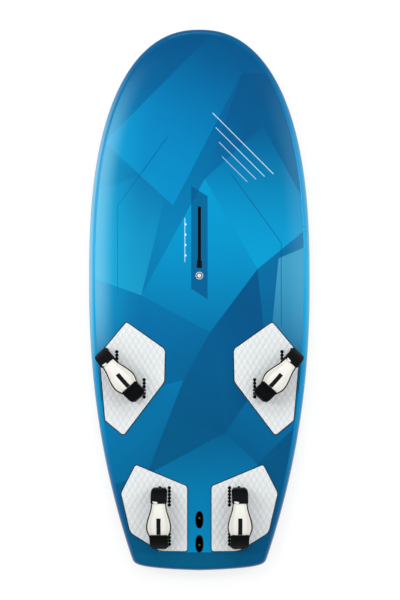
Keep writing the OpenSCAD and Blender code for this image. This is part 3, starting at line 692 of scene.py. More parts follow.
class Print:
    """Draws flat shapes on a graph, in plan."""

    def __init__(self, graph: Graph, place: Wire) -> None:
        """Take the graph and the plan coordinates to draw on."""
        self.graph = graph
        self.place = place
        self.x, self.y, _ = graph.split(place)

    def along(self, direction: Point2, offset: float) -> Wire:
        """Measure how far a point lies along a direction, from an offset."""
        settings = {"operation": "DOT_PRODUCT"}
        vector = (direction[0], direction[1], 0.0)
        dot = self.graph.wire("ShaderNodeVectorMath", settings, {0: self.place, 1: vector}, "Value")
        return dot - offset

    def polygon(self, corners: Sequence[Point2], soft: float = 0.0006) -> Wire:
        """Mask a convex shape whose corners run anticlockwise."""
        mask: Wire | None = None
        ring = list(corners)
        if sum(a[0] * b[1] - b[0] * a[1] for a, b in zip(ring, ring[1:] + ring[:1])) < 0:
            ring.reverse()
        for (x0, y0), (x1, y1) in zip(ring, ring[1:] + ring[:1]):
            length = math.hypot(x1 - x0, y1 - y0)
            inward = (-(y1 - y0) / length, (x1 - x0) / length)
            edge = self.along(inward, inward[0] * x0 + inward[1] * y0).ramp(-soft, soft)
            mask = edge if mask is None else mask * edge
        return mask

    def facet(self, under: Wire, facet: Facet) -> Wire:
        """Lay one shard over a colour."""
        share = self.polygon(facet.corners) * facet.strength
        run = (facet.fade_to[0] - facet.fade_from[0], facet.fade_to[1] - facet.fade_from[1])
        length = math.hypot(*run)
        unit = (run[0] / length, run[1] / length)
        start = unit[0] * facet.fade_from[0] + unit[1] * facet.fade_from[1]
        share = share * self.along(unit, start).ramp(length, 0.0)
        return self.graph.mix(share, under, facet.colour)

    def stripe(self, under: Wire, stripe: Stripe) -> Wire:
        """Draw one thin line over a colour."""
        run = (stripe.end[0] - stripe.start[0], stripe.end[1] - stripe.start[1])
        length = math.hypot(*run)
        unit = (run[0] / length, run[1] / length)
        side = (-unit[1], unit[0])
        across = self.along(side, side[0] * stripe.start[0] + side[1] * stripe.start[1]).size()
        begin = self.along(unit, unit[0] * stripe.start[0] + unit[1] * stripe.start[1])
        mask = across.ramp(stripe.width / 2 + 0.0004, stripe.width / 2 - 0.0004)
        mask = mask * (begin - length / 2).size().ramp(length / 2 + 0.0004, length / 2 - 0.0004)
        return self.graph.mix(mask * stripe.strength, under, stripe.colour)

    def dot(self, under: Wire, centre: Point2, radius: float, colour: str) -> Wire:
        """Draw a round dot over a colour."""
        dx, dy = self.x - centre[0], self.y - centre[1]
        gap = (dx * dx + dy * dy).math("SQRT")
        return self.graph.mix(gap.ramp(radius + 0.0004, radius - 0.0004), under, colour)


def rail_stops(ends: str) -> list[tuple[float, str]]:
    """List the rail's colours from tail to nose: bright at mid-length, darker towards the ends."""
    codes = ("004f7e", ends, "0092ca", "04a6da", "0092ca", ends, "005585")
    return list(zip((0.0, 0.12, 0.34, 0.55, 0.76, 0.93, 1.0), codes))


@dataclass(frozen=True)
class DeckPaint:
    """The deck's lacquer: a fade from nose to tail, flat shards, thin lines and a fine grip, with painted
    shade to starboard and painted highlights along the crease and rail.
    """

    nose: str = "00497a"
    fore: str = "005f96"
    middle: str = "0079ac"
    waist: str = "006699"
    aft: str = "005681"
    tail: str = "005a80"
    crease: float = 0.80

    facets: tuple[Facet, ...] = (
        Facet(
            ((0.06, 1.02), (-0.36, 0.60), (-0.10, 0.36), (0.16, 0.86)),
            "0088c0", 0.80, (-0.25, 0.45), (0.16, 1.0),
        ),
        Facet(
            ((0.44, 0.86), (0.16, 0.86), (0.02, 0.46), (0.44, 0.22)),
            "004676", 0.62, (0.4, 0.8), (0.0, 0.35),
        ),
        Facet(
            ((-0.10, 0.52), (-0.44, 0.40), (-0.44, 0.10), (-0.22, 0.02)),
            "1ba8d0", 0.55, (-0.44, 0.1), (-0.1, 0.5),
        ),
        Facet(
            ((-0.36, 0.60), (-0.44, 0.70), (-0.44, 0.40), (-0.24, 0.46)),
            "004f80", 0.55, (-0.44, 0.6), (-0.2, 0.4),
        ),
        Facet(
            ((0.24, 0.66), (0.02, 0.46), (0.22, 0.12), (0.44, 0.30)),
            "00a0d4", 0.75, (0.2, 0.1), (0.2, 0.75),
        ),
        Facet(
            ((0.02, 0.46), (-0.22, 0.02), (0.04, -0.12), (0.22, 0.12)),
            "0096ca", 0.85, (0.1, 0.45), (-0.1, -0.3),
        ),
        Facet(
            ((-0.22, 0.02), (-0.44, 0.10), (-0.44, -0.40), (-0.06, -0.30)),
            "0066a0", 0.55, (-0.44, -0.3), (0.0, 0.1),
        ),
        Facet(
            ((0.44, 0.22), (0.30, 0.16), (0.26, -0.26), (0.44, -0.22)),
            "4aaacc", 0.60, (0.44, 0.1), (0.2, -0.3),
        ),
        Facet(
            ((0.22, 0.12), (0.04, -0.12), (0.10, -0.50), (0.26, -0.26)),
            "00487a", 0.80, (0.3, -0.1), (0.0, -0.5),
        ),
        Facet(
            ((0.04, -0.12), (-0.06, -0.30), (-0.20, -0.66), (0.10, -0.50)),
            "004a7c", 0.62, (0.1, -0.1), (-0.2, -0.7),
        ),
        Facet(
            ((0.10, -0.50), (-0.20, -0.66), (-0.155, -0.953), (0.135, -0.953), (0.22, -0.62)),
            "008ec6", 0.85, (0.0, -1.0), (0.0, -0.36),
        ),
        Facet(
            ((0.26, -0.26), (0.10, -0.50), (0.22, -0.62), (0.44, -0.40)),
            "0074ac", 0.70, (0.4, -0.3), (0.1, -0.7),
        ),
        Facet(
            ((-0.06, -0.30), (-0.44, -0.40), (-0.34, -0.70), (-0.20, -0.66)),
            "0080b8", 0.60, (-0.4, -0.4), (0.0, -0.8),
        ),
    )

    def stripes(self) -> list[Stripe]:
        """List the thin lines: two bent dark ones, four pale strokes, a joint and the mast scale's line."""
        lines = [
            Stripe((-0.31, 0.02), (-0.31, 0.36), 0.0022, "014a7a"),
            Stripe((-0.31, 0.36), (-0.12, 0.62), 0.0022, "014a7a"),
            Stripe((0.31, -0.10), (0.31, 0.22), 0.0022, "014a7a"),
            Stripe((0.31, 0.22), (0.12, 0.48), 0.0022, "014a7a"),
        ]
        for k in range(4):
            start = (0.05 + 0.012 * k, 0.71 - 0.055 * k)
            reach = 0.23 - 0.045 * k
            end = (start[0] + reach, start[1] - reach)
            lines.append(Stripe(start, end, 0.0026, "d8eef6", 0.85 - 0.12 * k))
        lines.append(Stripe((-0.031, 0.392), (0.031, 0.392), 0.0016, "014a7a", 0.8))
        lines.append(Stripe((-0.055, 0.146), (-0.055, 0.313), 0.0024, "c4e6f2", 0.9))
        return lines

    def material(self) -> bpy.types.Material:
        """Build the lacquer."""
        graph = Graph("deck_paint")
        art = Print(graph, graph.place())
        run = (art.y / FORM.length) + 0.5
        stops = [
            *((0.00, self.tail), (0.0345, self.tail), (0.0350, self.aft), (0.30, self.aft)),
            *((0.44, self.waist), (0.62, self.middle), (0.84, self.fore), (1.00, self.nose)),
        ]
        colour = graph.ramp(run, stops)
        # Darker towards starboard: painted shade on the side away from the stronger port lamp.
        side = art.x / FORM.width + 0.5
        colour = graph.mix(side.ramp(0.35, 1.0) * 0.50, colour, "00487a")
        for facet in self.facets:
            colour = art.facet(colour, facet)
        panel = art.polygon(((-0.031, 0.045), (0.031, 0.005), (0.031, 0.395), (-0.031, 0.435)))
        colour = graph.mix(panel * 0.75, colour, "004a7c")
        for stripe in self.stripes():
            colour = art.stripe(colour, stripe)
        for y in (0.171, 0.211, 0.250, 0.289):
            colour = art.dot(colour, (-0.0525, y), 0.0036, "e4f5fa")
        across, _, _ = graph.split(graph.cloth())
        out = (across * 2.0 - 1.0).size()
        rail = out.ramp(self.crease - 0.0030, self.crease - 0.0006)
        edge = graph.ramp(run, rail_stops("005a90"))
        # Paler towards the rail's outer edge: a painted reflection of the bright surroundings at the grazing
        # rail.
        edge = graph.mix(out.ramp(0.90, 0.985) * 0.14, edge, "45c3e6")
        colour = graph.mix(rail, colour, edge)
        middle = (art.y - 0.28).size().ramp(0.66, 0.22)
        port = art.x.ramp(0.10, -0.10)
        inside = (1.0 - rail) * middle
        # Painted highlight: a broad pale sheen inside the crease at mid-length, stronger to port.
        glow = out.ramp(0.42, self.crease) * inside * (0.04 + port * 0.42)
        colour = graph.mix(glow, colour, "12acd8")
        # Painted highlight: a narrower pale glint just inside the crease, stronger to port.
        painted_glint = out.ramp(0.64, self.crease) * inside * (0.10 + port * 0.36)
        colour = graph.mix(painted_glint, colour, "8ad2ee")
        # Painted highlight on the rail at mid-length, stronger to port.
        painted_rail_shine = rail * middle * out.band(0.90, 0.02, 0.06) * (0.12 + port * 0.33)
        colour = graph.mix(painted_rail_shine, colour, "b4e6f5")
        line = out.band(self.crease - 0.0018, 0.0008, 0.0008)
        colour = graph.mix(line * 0.35, colour, "013f66")
        grain = graph.cells(graph.place(), 1500.0)
        cloud = graph.noise(graph.place(), 9.0, 3.0)
        colour = graph.mix((cloud - 0.5) * 0.10 + 0.02, colour, "0090c4")
        speck = graph.noise(graph.place(), 700.0, 2.0)
        height = (grain * 0.6 + speck * 0.4) * (1.0 - rail)
        orange = graph.noise(graph.place(), 55.0, 1.0)
        normal = graph.bump(orange, 0.0005, 0.25)
        normal = graph.bump(height, 0.00025, 0.55, normal)
        scuff = graph.noise(graph.place(), 24.0, 5.0, 0.7).ramp(0.55, 0.8) * 0.05
        rough_value = scuff + (0.40 - rail * 0.24)
        return graph.finish(
            Base_Color=colour,
            Roughness=rough_value,
            Normal=normal,
            Specular_IOR_Level=0.05,
            Coat_Weight=rail * 0.14,
            Coat_Roughness=0.12,
        )


@dataclass(frozen=True)
class BottomPaint:
    """The bottom's lacquer: deep blues in flat shards, with a pale line along the rail."""

    deep: str = "014a78"

    def material(self) -> bpy.types.Material:
        """Build the lacquer."""
        graph = Graph("bottom_paint")
        art = Print(graph, graph.place())
        run = (art.y / FORM.length) + 0.5
        stops = [(0.0, "00406c"), (0.5, self.deep), (0.85, "01629a"), (1.0, "015282")]
        colour = graph.ramp(run, stops)
        facets = (
            Facet(
                ((0.0, 0.95), (-0.40, 0.35), (-0.10, 0.10), (0.22, 0.50)),
                "0272ab", 0.6, (-0.3, 0.3), (0.2, 0.9),
            ),
            Facet(
                ((0.22, 0.50), (-0.10, 0.10), (0.16, -0.30), (0.42, 0.10)),
                "0a8fc6", 0.5, (0.3, 0.2), (-0.1, -0.1),
            ),
            Facet(
                ((-0.10, 0.10), (-0.40, -0.20), (-0.12, -0.66), (0.16, -0.30)),
                "003a63", 0.6, (0.0, 0.0), (-0.3, -0.6),
            ),
            Facet(
                ((0.16, -0.30), (-0.12, -0.66), (0.04, -0.98), (0.34, -0.62)),
                "0574ad", 0.5, (0.2, -0.4), (0.0, -1.0),
            ),
        )
        for facet in facets:
            colour = art.facet(colour, facet)
        across, _, _ = graph.split(graph.cloth())
        out = (across * 2.0 - 1.0).size()
        edge = graph.ramp(run, rail_stops("00659c"))
        colour = graph.mix(out.ramp(0.800, 0.803), colour, edge)
        colour = graph.mix(out.band(0.800, 0.0016, 0.0008) * 0.9, colour, "d9edf5")
        orange = graph.noise(graph.place(), 55.0, 1.0)
        scuff = graph.noise(graph.place(), 18.0, 5.0, 0.7).ramp(0.5, 0.85) * 0.12
        scratch = graph.noise(graph.stretched(graph.place(), (60.0, 2.0, 60.0)), 6.0, 3.0).ramp(0.62, 0.72)
        return graph.finish(
            Base_Color=colour,
            Roughness=scuff + scratch * 0.06 + 0.18,
            Normal=graph.bump(orange, 0.0005, 0.25),
            Specular_IOR_Level=0.3,
            Coat_Weight=0.4,
            Coat_Roughness=0.1,
        )


@dataclass(frozen=True)
class FoamGrip:
    """Closed-cell deck foam: fine cells, a pale or a dark tone, a little soiling, painted shade in the
    grooves and a painted highlight on the border.
    """

    name: str
    tone: str
    shadow: str
    soil: str
    rim: str
    groove: str
    soiling: float = 0.10

    def material(self) -> bpy.types.Material:
        """Build the foam."""
        graph = Graph(self.name)
        place = graph.place()
        cloud = graph.noise(place, 7.0, 4.0, 0.6)
        colour = graph.mix(cloud.ramp(0.35, 0.75) * 0.3, self.tone, self.shadow)
        # Painted highlight: the smooth border, marked by the layer rim, is painted lighter.
        colour = graph.mix(graph.layer("rim") * 0.85, colour, self.rim)
        # Painted shade: the grooves are painted darker by their depth.
        colour = graph.mix(graph.layer("dip").size() * (1 / Pad.depth) * 0.9, colour, self.groove)
        worn = graph.noise(place, 3.2, 5.0, 0.65).ramp(0.52, 0.85)
        colour = graph.mix(worn * self.soiling, colour, self.soil)
        cell = graph.cells(place, 1900.0)
        fine = graph.noise(place, 900.0, 2.0)
        colour = graph.mix(cell.ramp(0.0, 0.25) * 0.10 + 0.90, self.shadow, colour)
        normal = graph.bump(fine * 0.5 + cell * 0.5, 0.0002, 0.6)
        return graph.finish(
            Base_Color=colour,
            Roughness=0.74 + (cloud - 0.5) * 0.14,
            Normal=normal,
            Specular_IOR_Level=0.35,
        )


class Weave(Enum):
    """How a cloth's surface is made."""

    SATIN = "satin"
    KNIT = "knit"
    PLAIN = "plain"
    RIBBED = "ribbed"


@dataclass(frozen=True)
class Cloth:
    """A textile finish whose threads follow the piece's own map, in metres."""

    name: str
    weave: Weave
    tone: str
    shade: str
    pitch: float = 0.0010
    depth: float = 0.00015
    rough: float = 0.7
    sheen: float = 0.0
    specular: float = 0.4

    def _height(self, graph: Graph, uv: Wire) -> Wire:
        """Give the height of the threads, between 0 and 1."""
        along, across, _ = graph.split(uv)
        turn = 2 * math.pi / self.pitch
        warp = (across * turn).math("SINE") * 0.5 + 0.5
        weft = (along * turn).math("SINE") * 0.5 + 0.5
        if self.weave is Weave.RIBBED:
            return weft * 0.8 + (across * (turn * 1.7)).math("SINE") * 0.1 + 0.1
        if self.weave is Weave.KNIT:
            lean = across * 0.6
            slant = ((along + lean) * turn).math("SINE") * ((along - lean) * turn).math("SINE")
            return slant * 0.5 + 0.5
        if self.weave is Weave.SATIN:
            return (along * turn + across * (turn * 0.35)).math("SINE") * 0.3 + 0.5
        check = (along * (turn / 2)).math("SINE") * (across * (turn / 2)).math("SINE")
        return (check.math("GREATER_THAN", 0.0) * (warp - weft) + weft).clamped()

    def _tint(self, graph: Graph, uv: Wire, colour: Wire) -> Wire:
        """Change the colour over the piece, where a kind of cloth does."""
        return colour

    def material(self) -> bpy.types.Material:
        """Build the cloth."""
        graph = Graph(self.name)
        uv = graph.cloth()
        height = self._height(graph, uv)
        place = graph.place()
        cloud = graph.noise(place, 26.0, 4.0, 0.6)
        colour = graph.mix(cloud.ramp(0.3, 0.8) * 0.6, self.tone, self.shade)
        # Painted shade between the threads: darker where their height is low.
        colour = graph.mix((1.0 - height) * 0.35, colour, self.shade)
        colour = self._tint(graph, uv, colour)
        fuzz = graph.noise(place, 1600.0, 2.0)
        normal = graph.bump(height * 0.8 + fuzz * 0.2, self.depth, 0.8)
        return graph.finish(
            Base_Color=colour,
            Roughness=self.rough + (cloud - 0.5) * 0.15,
            Normal=normal,
            Sheen_Weight=self.sheen,
            Sheen_Roughness=0.4,
            Specular_IOR_Level=self.specular,
        )


@dataclass(frozen=True)
class CoverCloth(Cloth):
    """The straps' pale cover cloth, with painted shade, creamier and darker, on its recessed side panels."""

    girth: float = 0.188
    top_share: float = 44 / 56
    panel_shade: str = "cbc6b6"

    def _tint(self, graph: Graph, uv: Wire, colour: Wire) -> Wire:
        """Paint shade on the recessed side panels."""
        along, across, _ = graph.split(uv)
        place = (across * (2 / (self.girth * self.top_share)) - 1.0).size()
        panel = place.band(0.76, 0.05, 0.16) * along.ramp(0.035, 0.10)
        # Painted shade in the recessed side panels.
        return graph.mix(panel * 0.45, colour, self.panel_shade)


@dataclass(frozen=True)
class Plastic:
    """Moulded plastic or rubber with a fine spark-eroded grain."""

    name: str
    tone: str
    worn: str
    rough: float = 0.42
    grain: float = 0.00006
    specular: float = 0.3

    def material(self) -> bpy.types.Material:
        """Build the plastic."""
        graph = Graph(self.name)
        place = graph.place()
        cloud = graph.noise(place, 60.0, 4.0, 0.6)
        colour = graph.mix(cloud.ramp(0.45, 0.85) * 0.35, self.tone, self.worn)
        fine = graph.noise(place, 2200.0, 2.0)
        return graph.finish(
            Base_Color=colour,
            Roughness=self.rough + (cloud - 0.5) * 0.16,
            Normal=graph.bump(fine, self.grain, 0.6),
            Specular_IOR_Level=self.specular,
        )


@dataclass(frozen=True)
class VentRing:
    """The vent's moulding: pale plastic with a dark inlaid ring round the screw."""

    pale: str = "e2e8ea"
    dark: str = "0b3450"
    inner: float = 8.9 * MM
    outer: float = 11.9 * MM

    def material(self) -> bpy.types.Material:
        """Build the moulding's finish."""
        graph = Graph("vent_moulding")
        art = Print(graph, graph.place())
        cloud = graph.noise(graph.place(), 90.0, 4.0, 0.6)
        colour = graph.mix(cloud.ramp(0.45, 0.85) * 0.4, self.pale, "c6cdd1")
        radius = (art.x * art.x + (art.y - FORM.vent_y) * (art.y - FORM.vent_y)).math("SQRT")
        colour = graph.mix(radius.ramp(self.outer + 0.0002, self.outer - 0.0002), colour, self.dark)
        colour = graph.mix(radius.ramp(self.inner + 0.0002, self.inner - 0.0002), colour, "09202f")
        fine = graph.noise(graph.place(), 2200.0, 2.0)
        return graph.finish(
            Base_Color=colour,
            Roughness=0.34 + (cloud - 0.5) * 0.14,
            Normal=graph.bump(fine, 0.00005, 0.6),
            Specular_IOR_Level=0.35,
        )


@dataclass(frozen=True)
class Steel:
    """Turned stainless steel."""

    name: str = "screw_steel"
    tone: str = "c3c6c9"

    def material(self) -> bpy.types.Material:
        """Build the steel."""
        graph = Graph(self.name)
        place = graph.place()
        rings = graph.noise(graph.stretched(place, (1.0, 1.0, 14.0)), 500.0, 2.0)
        stain = graph.noise(place, 190.0, 3.0).ramp(0.55, 0.8)
        colour = graph.mix(stain * 0.3, self.tone, "8f8b84")
        return graph.finish(
            Base_Color=colour,
            Metallic=1.0,
            Roughness=0.24 + rings * 0.16,
            Normal=graph.bump(rings, 0.00004, 0.5),
        )


@dataclass(frozen=True)
class CoreFoam:
    """Foam of the hull: beads or fine cells, seen only where the hull is open."""

    name: str
    tone: str
    gap: str
    bead: float = 250.0

    def material(self) -> bpy.types.Material:
        """Build the foam."""
        graph = Graph(self.name)
        beads = graph.cells(graph.place(), self.bead)
        colour = graph.mix(beads.ramp(0.35, 0.6) * 0.6, self.tone, self.gap)
        return graph.finish(
            Base_Color=colour, Roughness=0.85, Normal=graph.bump(1.0 - beads, 0.0006, 0.6)
        )


class Finishes:
    """Every material of the board, made once."""

    def __init__(self) -> None:
        """Build them all."""
        self.deck = DeckPaint().material()
        self.bottom = BottomPaint().material()
        # The pale pad's rim colour is a painted highlight on its border, and its groove colour is painted
        # shade in the grooves.
        self.pad = FoamGrip("pad_pale", "e2e6e7", "d9dddf", "b8b4a6", "f2f5f5", "c6cdd1").material()
        self.pad_base = FoamGrip("pad_dark", "0c1722", "070d14", "27323c", "0c1722", "070d14").material()
        self.cover = CoverCloth(
            "cover_cream", Weave.KNIT, "ebeae6", "e0ded5", 0.0008, 0.00005, 0.46, 0.06, 0.4
        ).material()
        self.flap = Cloth(
            "flap_neoprene", Weave.SATIN, "030405", "07080a", 0.0006, 0.00005, 0.46, 0.0, 0.07
        ).material()
        self.lining = Cloth(
            "lining", Weave.KNIT, "0c0d10", "14161a", 0.0012, 0.00012, 0.8, 0.08, 0.25
        ).material()
        self.binding = Cloth(
            "binding", Weave.RIBBED, "040506", "0a0b0d", 0.0011, 0.00016, 0.7, 0.0, 0.14
        ).material()
        self.webbing = Cloth(
            "webbing", Weave.PLAIN, "0a0b0d", "14161a", 0.0022, 0.0003, 0.65, 0.03, 0.25
        ).material()
        self.tab = Cloth(
            "tab", Weave.PLAIN, "07080a", "121417", 0.0009, 0.00012, 0.6, 0.0, 0.14
        ).material()
        self.pull = Cloth(
            "pull_tab", Weave.PLAIN, "eceae4", "cfccc3", 0.0012, 0.0002, 0.6, 0.1
        ).material()
        self.dark_thread = Cloth(
            "thread_dark", Weave.RIBBED, "1d1f24", "2b2e35", 0.0006, 0.00008, 0.5
        ).material()
        self.pale_thread = Cloth(
            "thread_pale", Weave.RIBBED, "f5f3ec", "d9d6cb", 0.0006, 0.00008, 0.5
        ).material()
        self.box = Plastic("box_plastic", "07080a", "15171a", 0.45).material()
        self.insert = Plastic("insert_plastic", "060709", "121417", 0.5).material()
        self.plate = Plastic("plate_plastic", "0b0c0e", "191b1f", 0.4).material()
        self.white = Plastic("vent_plastic", "e6e8ea", "cfd3d6", 0.3).material()
        self.ring = VentRing().material()
        self.seal = Plastic("seal_rubber", "9c1f1a", "6d1512", 0.5).material()
        self.steel = Steel().material()
        self.core = CoreFoam("core_foam", "eef0ec", "cfd2cc").material()
        self.block = CoreFoam("block_foam", "c9b98a", "a4966b", 900.0).material()


# ---------------------------------------------------------------- the hull


@dataclass
class Hull:
    """The deck and bottom laminates, with the openings that the fittings need."""

    finishes: Finishes
    half_columns: int = 50
    rows: int = 170
    deck_skin: float = 4 * MM
    bottom_skin: float = 3 * MM
    hole: float = 0.2 * MM
    track_y: float = 0.240
    track_length: float = 0.232
    track_width: float = 0.010
    entry: tuple[float, float] = (0.027, 0.018)
    collar: float = 0.001

    def _bottom_profile(self, out: float) -> Point2:
        """Give the way out and the lift of the bottom at a share of its girth."""
        knots = (
            *((0, 1), (0.50, 1), (0.72, 1), (0.775, 0.995), (0.86, 0.76)),
            *((0.935, 0.53), (0.982, 0.24), (1, 0.1), (1, 0)),
        )
        place = out * (len(knots) - 2)
        index = min(len(knots) - 3, int(place))
        t = place - index
        a, b, c = knots[index], knots[index + 1], knots[index + 2]
        start = a if index == 0 else ((a[0] + b[0]) / 2, (a[1] + b[1]) / 2)
        end = c if index == len(knots) - 3 else ((b[0] + c[0]) / 2, (b[1] + c[1]) / 2)
        weights = ((1 - t) ** 2, 2 * t * (1 - t), t * t)
        return tuple(weights[0] * start[i] + weights[1] * b[i] + weights[2] * end[i] for i in (0, 1))

    def _deck_point(self, across: float, along: float) -> Vector:
        """Place a point of the deck."""
        q = 2 * across - 1
        size = abs(q)
        crease = DeckPaint.crease
        if size <= crease:
            out, lift = FORM.rail_start * size / crease, 1.0
        else:
            angle = math.pi / 2 * (size - crease) / (1 - crease)
            out = FORM.rail_start + (1 - FORM.rail_start) * math.sin(angle)
            lift = math.cos(angle)
        return FORM.point(along, out, lift, -1 if q < 0 else 1, True)

    def _bottom_point(self, across: float, along: float) -> Vector:
        """Place a point of the bottom."""
        q = 2 * across - 1
        out, lift = self._bottom_profile(abs(q))
        return FORM.point(along, out, lift, -1 if q < 0 else 1, False)

    def _skin(
        self, name: str, place: Callable[[float, float], Vector], thickness: float, up: bool
    ) -> bpy.types.Object:
        """Lay one laminate and give it its thickness."""
        shell = Shell()
        shell.grid(2 * self.half_columns, self.rows, place, lambda a, b: (a, b)).weld()
        shell.outward()
        middle = min(shell.bm.faces, key=lambda f: f.calc_center_median().length)
        if (middle.normal.z > 0) != up:
            bmesh.ops.reverse_faces(shell.bm, faces=shell.bm.faces)
        skin = shell.piece(name)
        wall = skin.modifiers.new("wall", "SOLIDIFY")
        wall.thickness = thickness
        wall.offset = -1
        settle(skin)
        return skin

    def _track_cutter(self, cutter: Shell) -> None:
        """Add the mast track's opening, a slot with a wider entry at its aft end."""
        grow = self.collar + self.hole
        height = FORM.deck(0, self.track_y)
        aft = self.track_y - self.track_length / 2 - grow
        fore = self.track_y + self.track_length / 2 + grow
        shoulder = aft + self.entry[0] + 2 * grow
        wide, narrow = self.entry[1] / 2 + grow, self.track_width / 2 + grow
        corners = [
            (wide, aft, 3.5 * MM),
            (wide, shoulder, 3.5 * MM),
            (narrow, shoulder, 0.3 * MM),
            (narrow, fore, narrow * 0.98),
            (-narrow, fore, narrow * 0.98),
            (-narrow, shoulder, 0.3 * MM),
            (-wide, shoulder, 3.5 * MM),
            (-wide, aft, 3.5 * MM),
        ]
        cutter.prism(rounded(corners), height - 12 * MM, height + 12 * MM)

    def build(self, rows: Iterable[tuple[Matrix, float, float]]) -> None:
        """Make both laminates.

        Args:
            rows: Frame, length and width of each strap insert's pocket.
        """
        deck = self._skin("deck_laminate", self._deck_point, self.deck_skin, True)
        fittings = Shell()
        for side in (-1, 1):
            fittings.prism(FoilBox().well(side, FoilBox.wall + self.hole), 0.080, 0.130)
        fittings.rod(14 * MM + self.hole, 0.100, 0.130, (0, FORM.vent_y), 64)
        self._track_cutter(fittings)
        for matrix, length, width in rows:
            outline = stadium(length + 2 * self.hole, width + 2 * self.hole)
            made = fittings.prism(outline, -0.012, 0.012)
            bmesh.ops.transform(fittings.bm, matrix=matrix, verts=made)
        carve(deck, fittings)
        shade(deck, 40)
        wear(deck, self.finishes.deck)
        place(deck, "board", "deck_laminate", "deck_skin")
        bottom = self._skin("bottom_laminate", self._bottom_point, self.bottom_skin, False)
        socket = Shell()
        length, width = (size + 2 * self.hole for size in FoilBox.body)
        socket.prism(stadium(length, width, (0, FoilBox.y)), -0.010, 0.010)
        carve(bottom, socket)
        shade(bottom, 40)
        wear(bottom, self.finishes.bottom)
        place(bottom, "board", "bottom_laminate", "bottom_skin")


# ---------------------------------------------------------------- strap places


class Station(Enum):
    """Which pair of straps and pads."""

    FRONT = "front"
    REAR = "rear"


class End(Enum):
    """Which end of a strap."""

    FORE = 1
    AFT = -1


def seat_name(station: Station, side: int) -> str:
    """Name one strap's place, 1 to starboard and -1 to port, as the nodes do."""
    return f"{station.value}_{'right' if side > 0 else 'left'}"


@dataclass(frozen=True)
class Layout:
    """Where the straps, their rows of holes and the pads lie, to starboard."""

    front_row: Point2 = (0.0620, 0.799)
    front_span: Point2 = (0.1035, 0.106)
    rear_row: Point2 = (0.149, 0.284)
    rear_span: float = 0.149
    row_step: float = 0.035
    pitch: float = 0.013
    holes: int = 6
    insert: Point2 = (0.081, 0.016)
    pad: float = 0.0066
    seat_gap: float = 0.0003

    def row(self, station: Station, end: End, spare: bool) -> Point2:
        """Give a row's centre in plan."""
        back = self.row_step if spare else 0.0
        aft = 0.0 if end is End.FORE else 1.0
        if station is Station.FRONT:
            x = FORM.half_width(FORM.tail + self.front_row[1]) - self.front_row[0]
            y = FORM.tail + self.front_row[1] - aft * self.front_span[1]
            return (x - aft * self.front_span[0] - back, y)
        return (self.rear_row[0] - back, FORM.tail + self.rear_row[1] - aft * self.rear_span)

    def screw(self, station: Station, end: End) -> Point2:
        """Give the middle of an end's two screws in plan."""
        x, y = self.row(station, end, False)
        shift = end.value if station is Station.FRONT else -1
        return (x, y + self.pitch / 2 * shift)

    def normal(self, station: Station) -> Vector:
        """Give the direction that a strap stands in."""
        fore, aft = self.screw(station, End.FORE), self.screw(station, End.AFT)
        return FORM.deck_normal((fore[0] + aft[0]) / 2, (fore[1] + aft[1]) / 2)

    def _over_pad(self, station: Station, x: float, y: float) -> Vector:
        """Give the point over the pad that a place on the deck stands under."""
        lift = self.normal(station) * (self.pad + self.seat_gap)
        return Vector((x, y, FORM.deck(x, y))) + lift

    def strap_frame(self, station: Station) -> Matrix:
        """Give the strap's frame: X from its fore end to its aft end, Z out of the deck."""
        fore = self._over_pad(station, *self.screw(station, End.FORE))
        aft = self._over_pad(station, *self.screw(station, End.AFT))
        normal = self.normal(station)
        along = (aft - fore) - normal * (aft - fore).dot(normal)
        along.normalize()
        middle = (fore + aft) / 2
        lift = max(0.0, (self._over_pad(station, middle.x, middle.y) - middle).dot(normal))
        return axes(along, normal.cross(along), normal, middle + normal * lift)

    def row_frame(self, station: Station, end: End, spare: bool) -> Matrix:
        """Give a row's frame: Y along the row, Z as the strap's, on the deck."""
        x, y = self.row(station, end, spare)
        normal = Vector((0, 0, 1)) if spare else self.normal(station)
        return self._across(normal, Vector((x, y, FORM.deck(x, y))))

    def seat_frame(self, station: Station, end: End) -> Matrix:
        """Give the frame of a strap end's screws: Y along their row, on the strap's base."""
        normal = self.normal(station)
        frame = self.strap_frame(station)
        lift = frame.translation - (
            self._over_pad(station, *self.screw(station, End.FORE))
            + self._over_pad(station, *self.screw(station, End.AFT))
        ) / 2
        return self._across(normal, self._over_pad(station, *self.screw(station, end)) + lift)

    @staticmethod
    def _across(normal: Vector, origin: Vector) -> Matrix:
        """Build a frame with Z along a normal and Y as near to forward as that allows."""
        along = (Vector((0, 1, 0)) - normal * normal.y).normalized()
        return axes(along.cross(normal), along, normal, origin)

    def pockets(self) -> list[tuple[Matrix, float, float]]:
        """List the pockets of all the inserts, on both sides."""
        found = []
        for side in (1, -1):
            flip = Matrix.Diagonal((side, 1, 1, 1))
            for station in Station:
                for end in End:
                    for spare in (False, True):
                        found.append((flip @ self.row_frame(station, end, spare), *self.insert))
        return found


def axes(x: Vector, y: Vector, z: Vector, origin: Vector) -> Matrix:
    """Build a frame from its three directions and its origin."""
    matrix = Matrix((x, y, z)).transposed().to_4x4()
    matrix.translation = origin
    return matrix


PLAN = Layout()


# ---------------------------------------------------------------- pads


def drawn_in(outline: Sequence[Point2], distance: float) -> list[Point2]:
    """Draw an outline again inside itself.

    Args:
        outline: The corners, in order.
        distance: How far in each side moves.

    Returns:
        The new corners.
    """
    pairs = list(zip(outline, [*outline[1:], outline[0]]))
    turn = math.copysign(1.0, sum(a[0] * b[1] - b[0] * a[1] for a, b in pairs))
    inward = [Vector((a[1] - b[1], b[0] - a[0])).normalized() * turn for a, b in pairs]
    drawn = []
    for (x, y), before, after in zip(outline, [inward[-1], *inward[:-1]], inward):
        step = (before + after) * (distance / (1.0 + before.dot(after)))
        drawn.append((x + step.x, y + step.y))
    return drawn


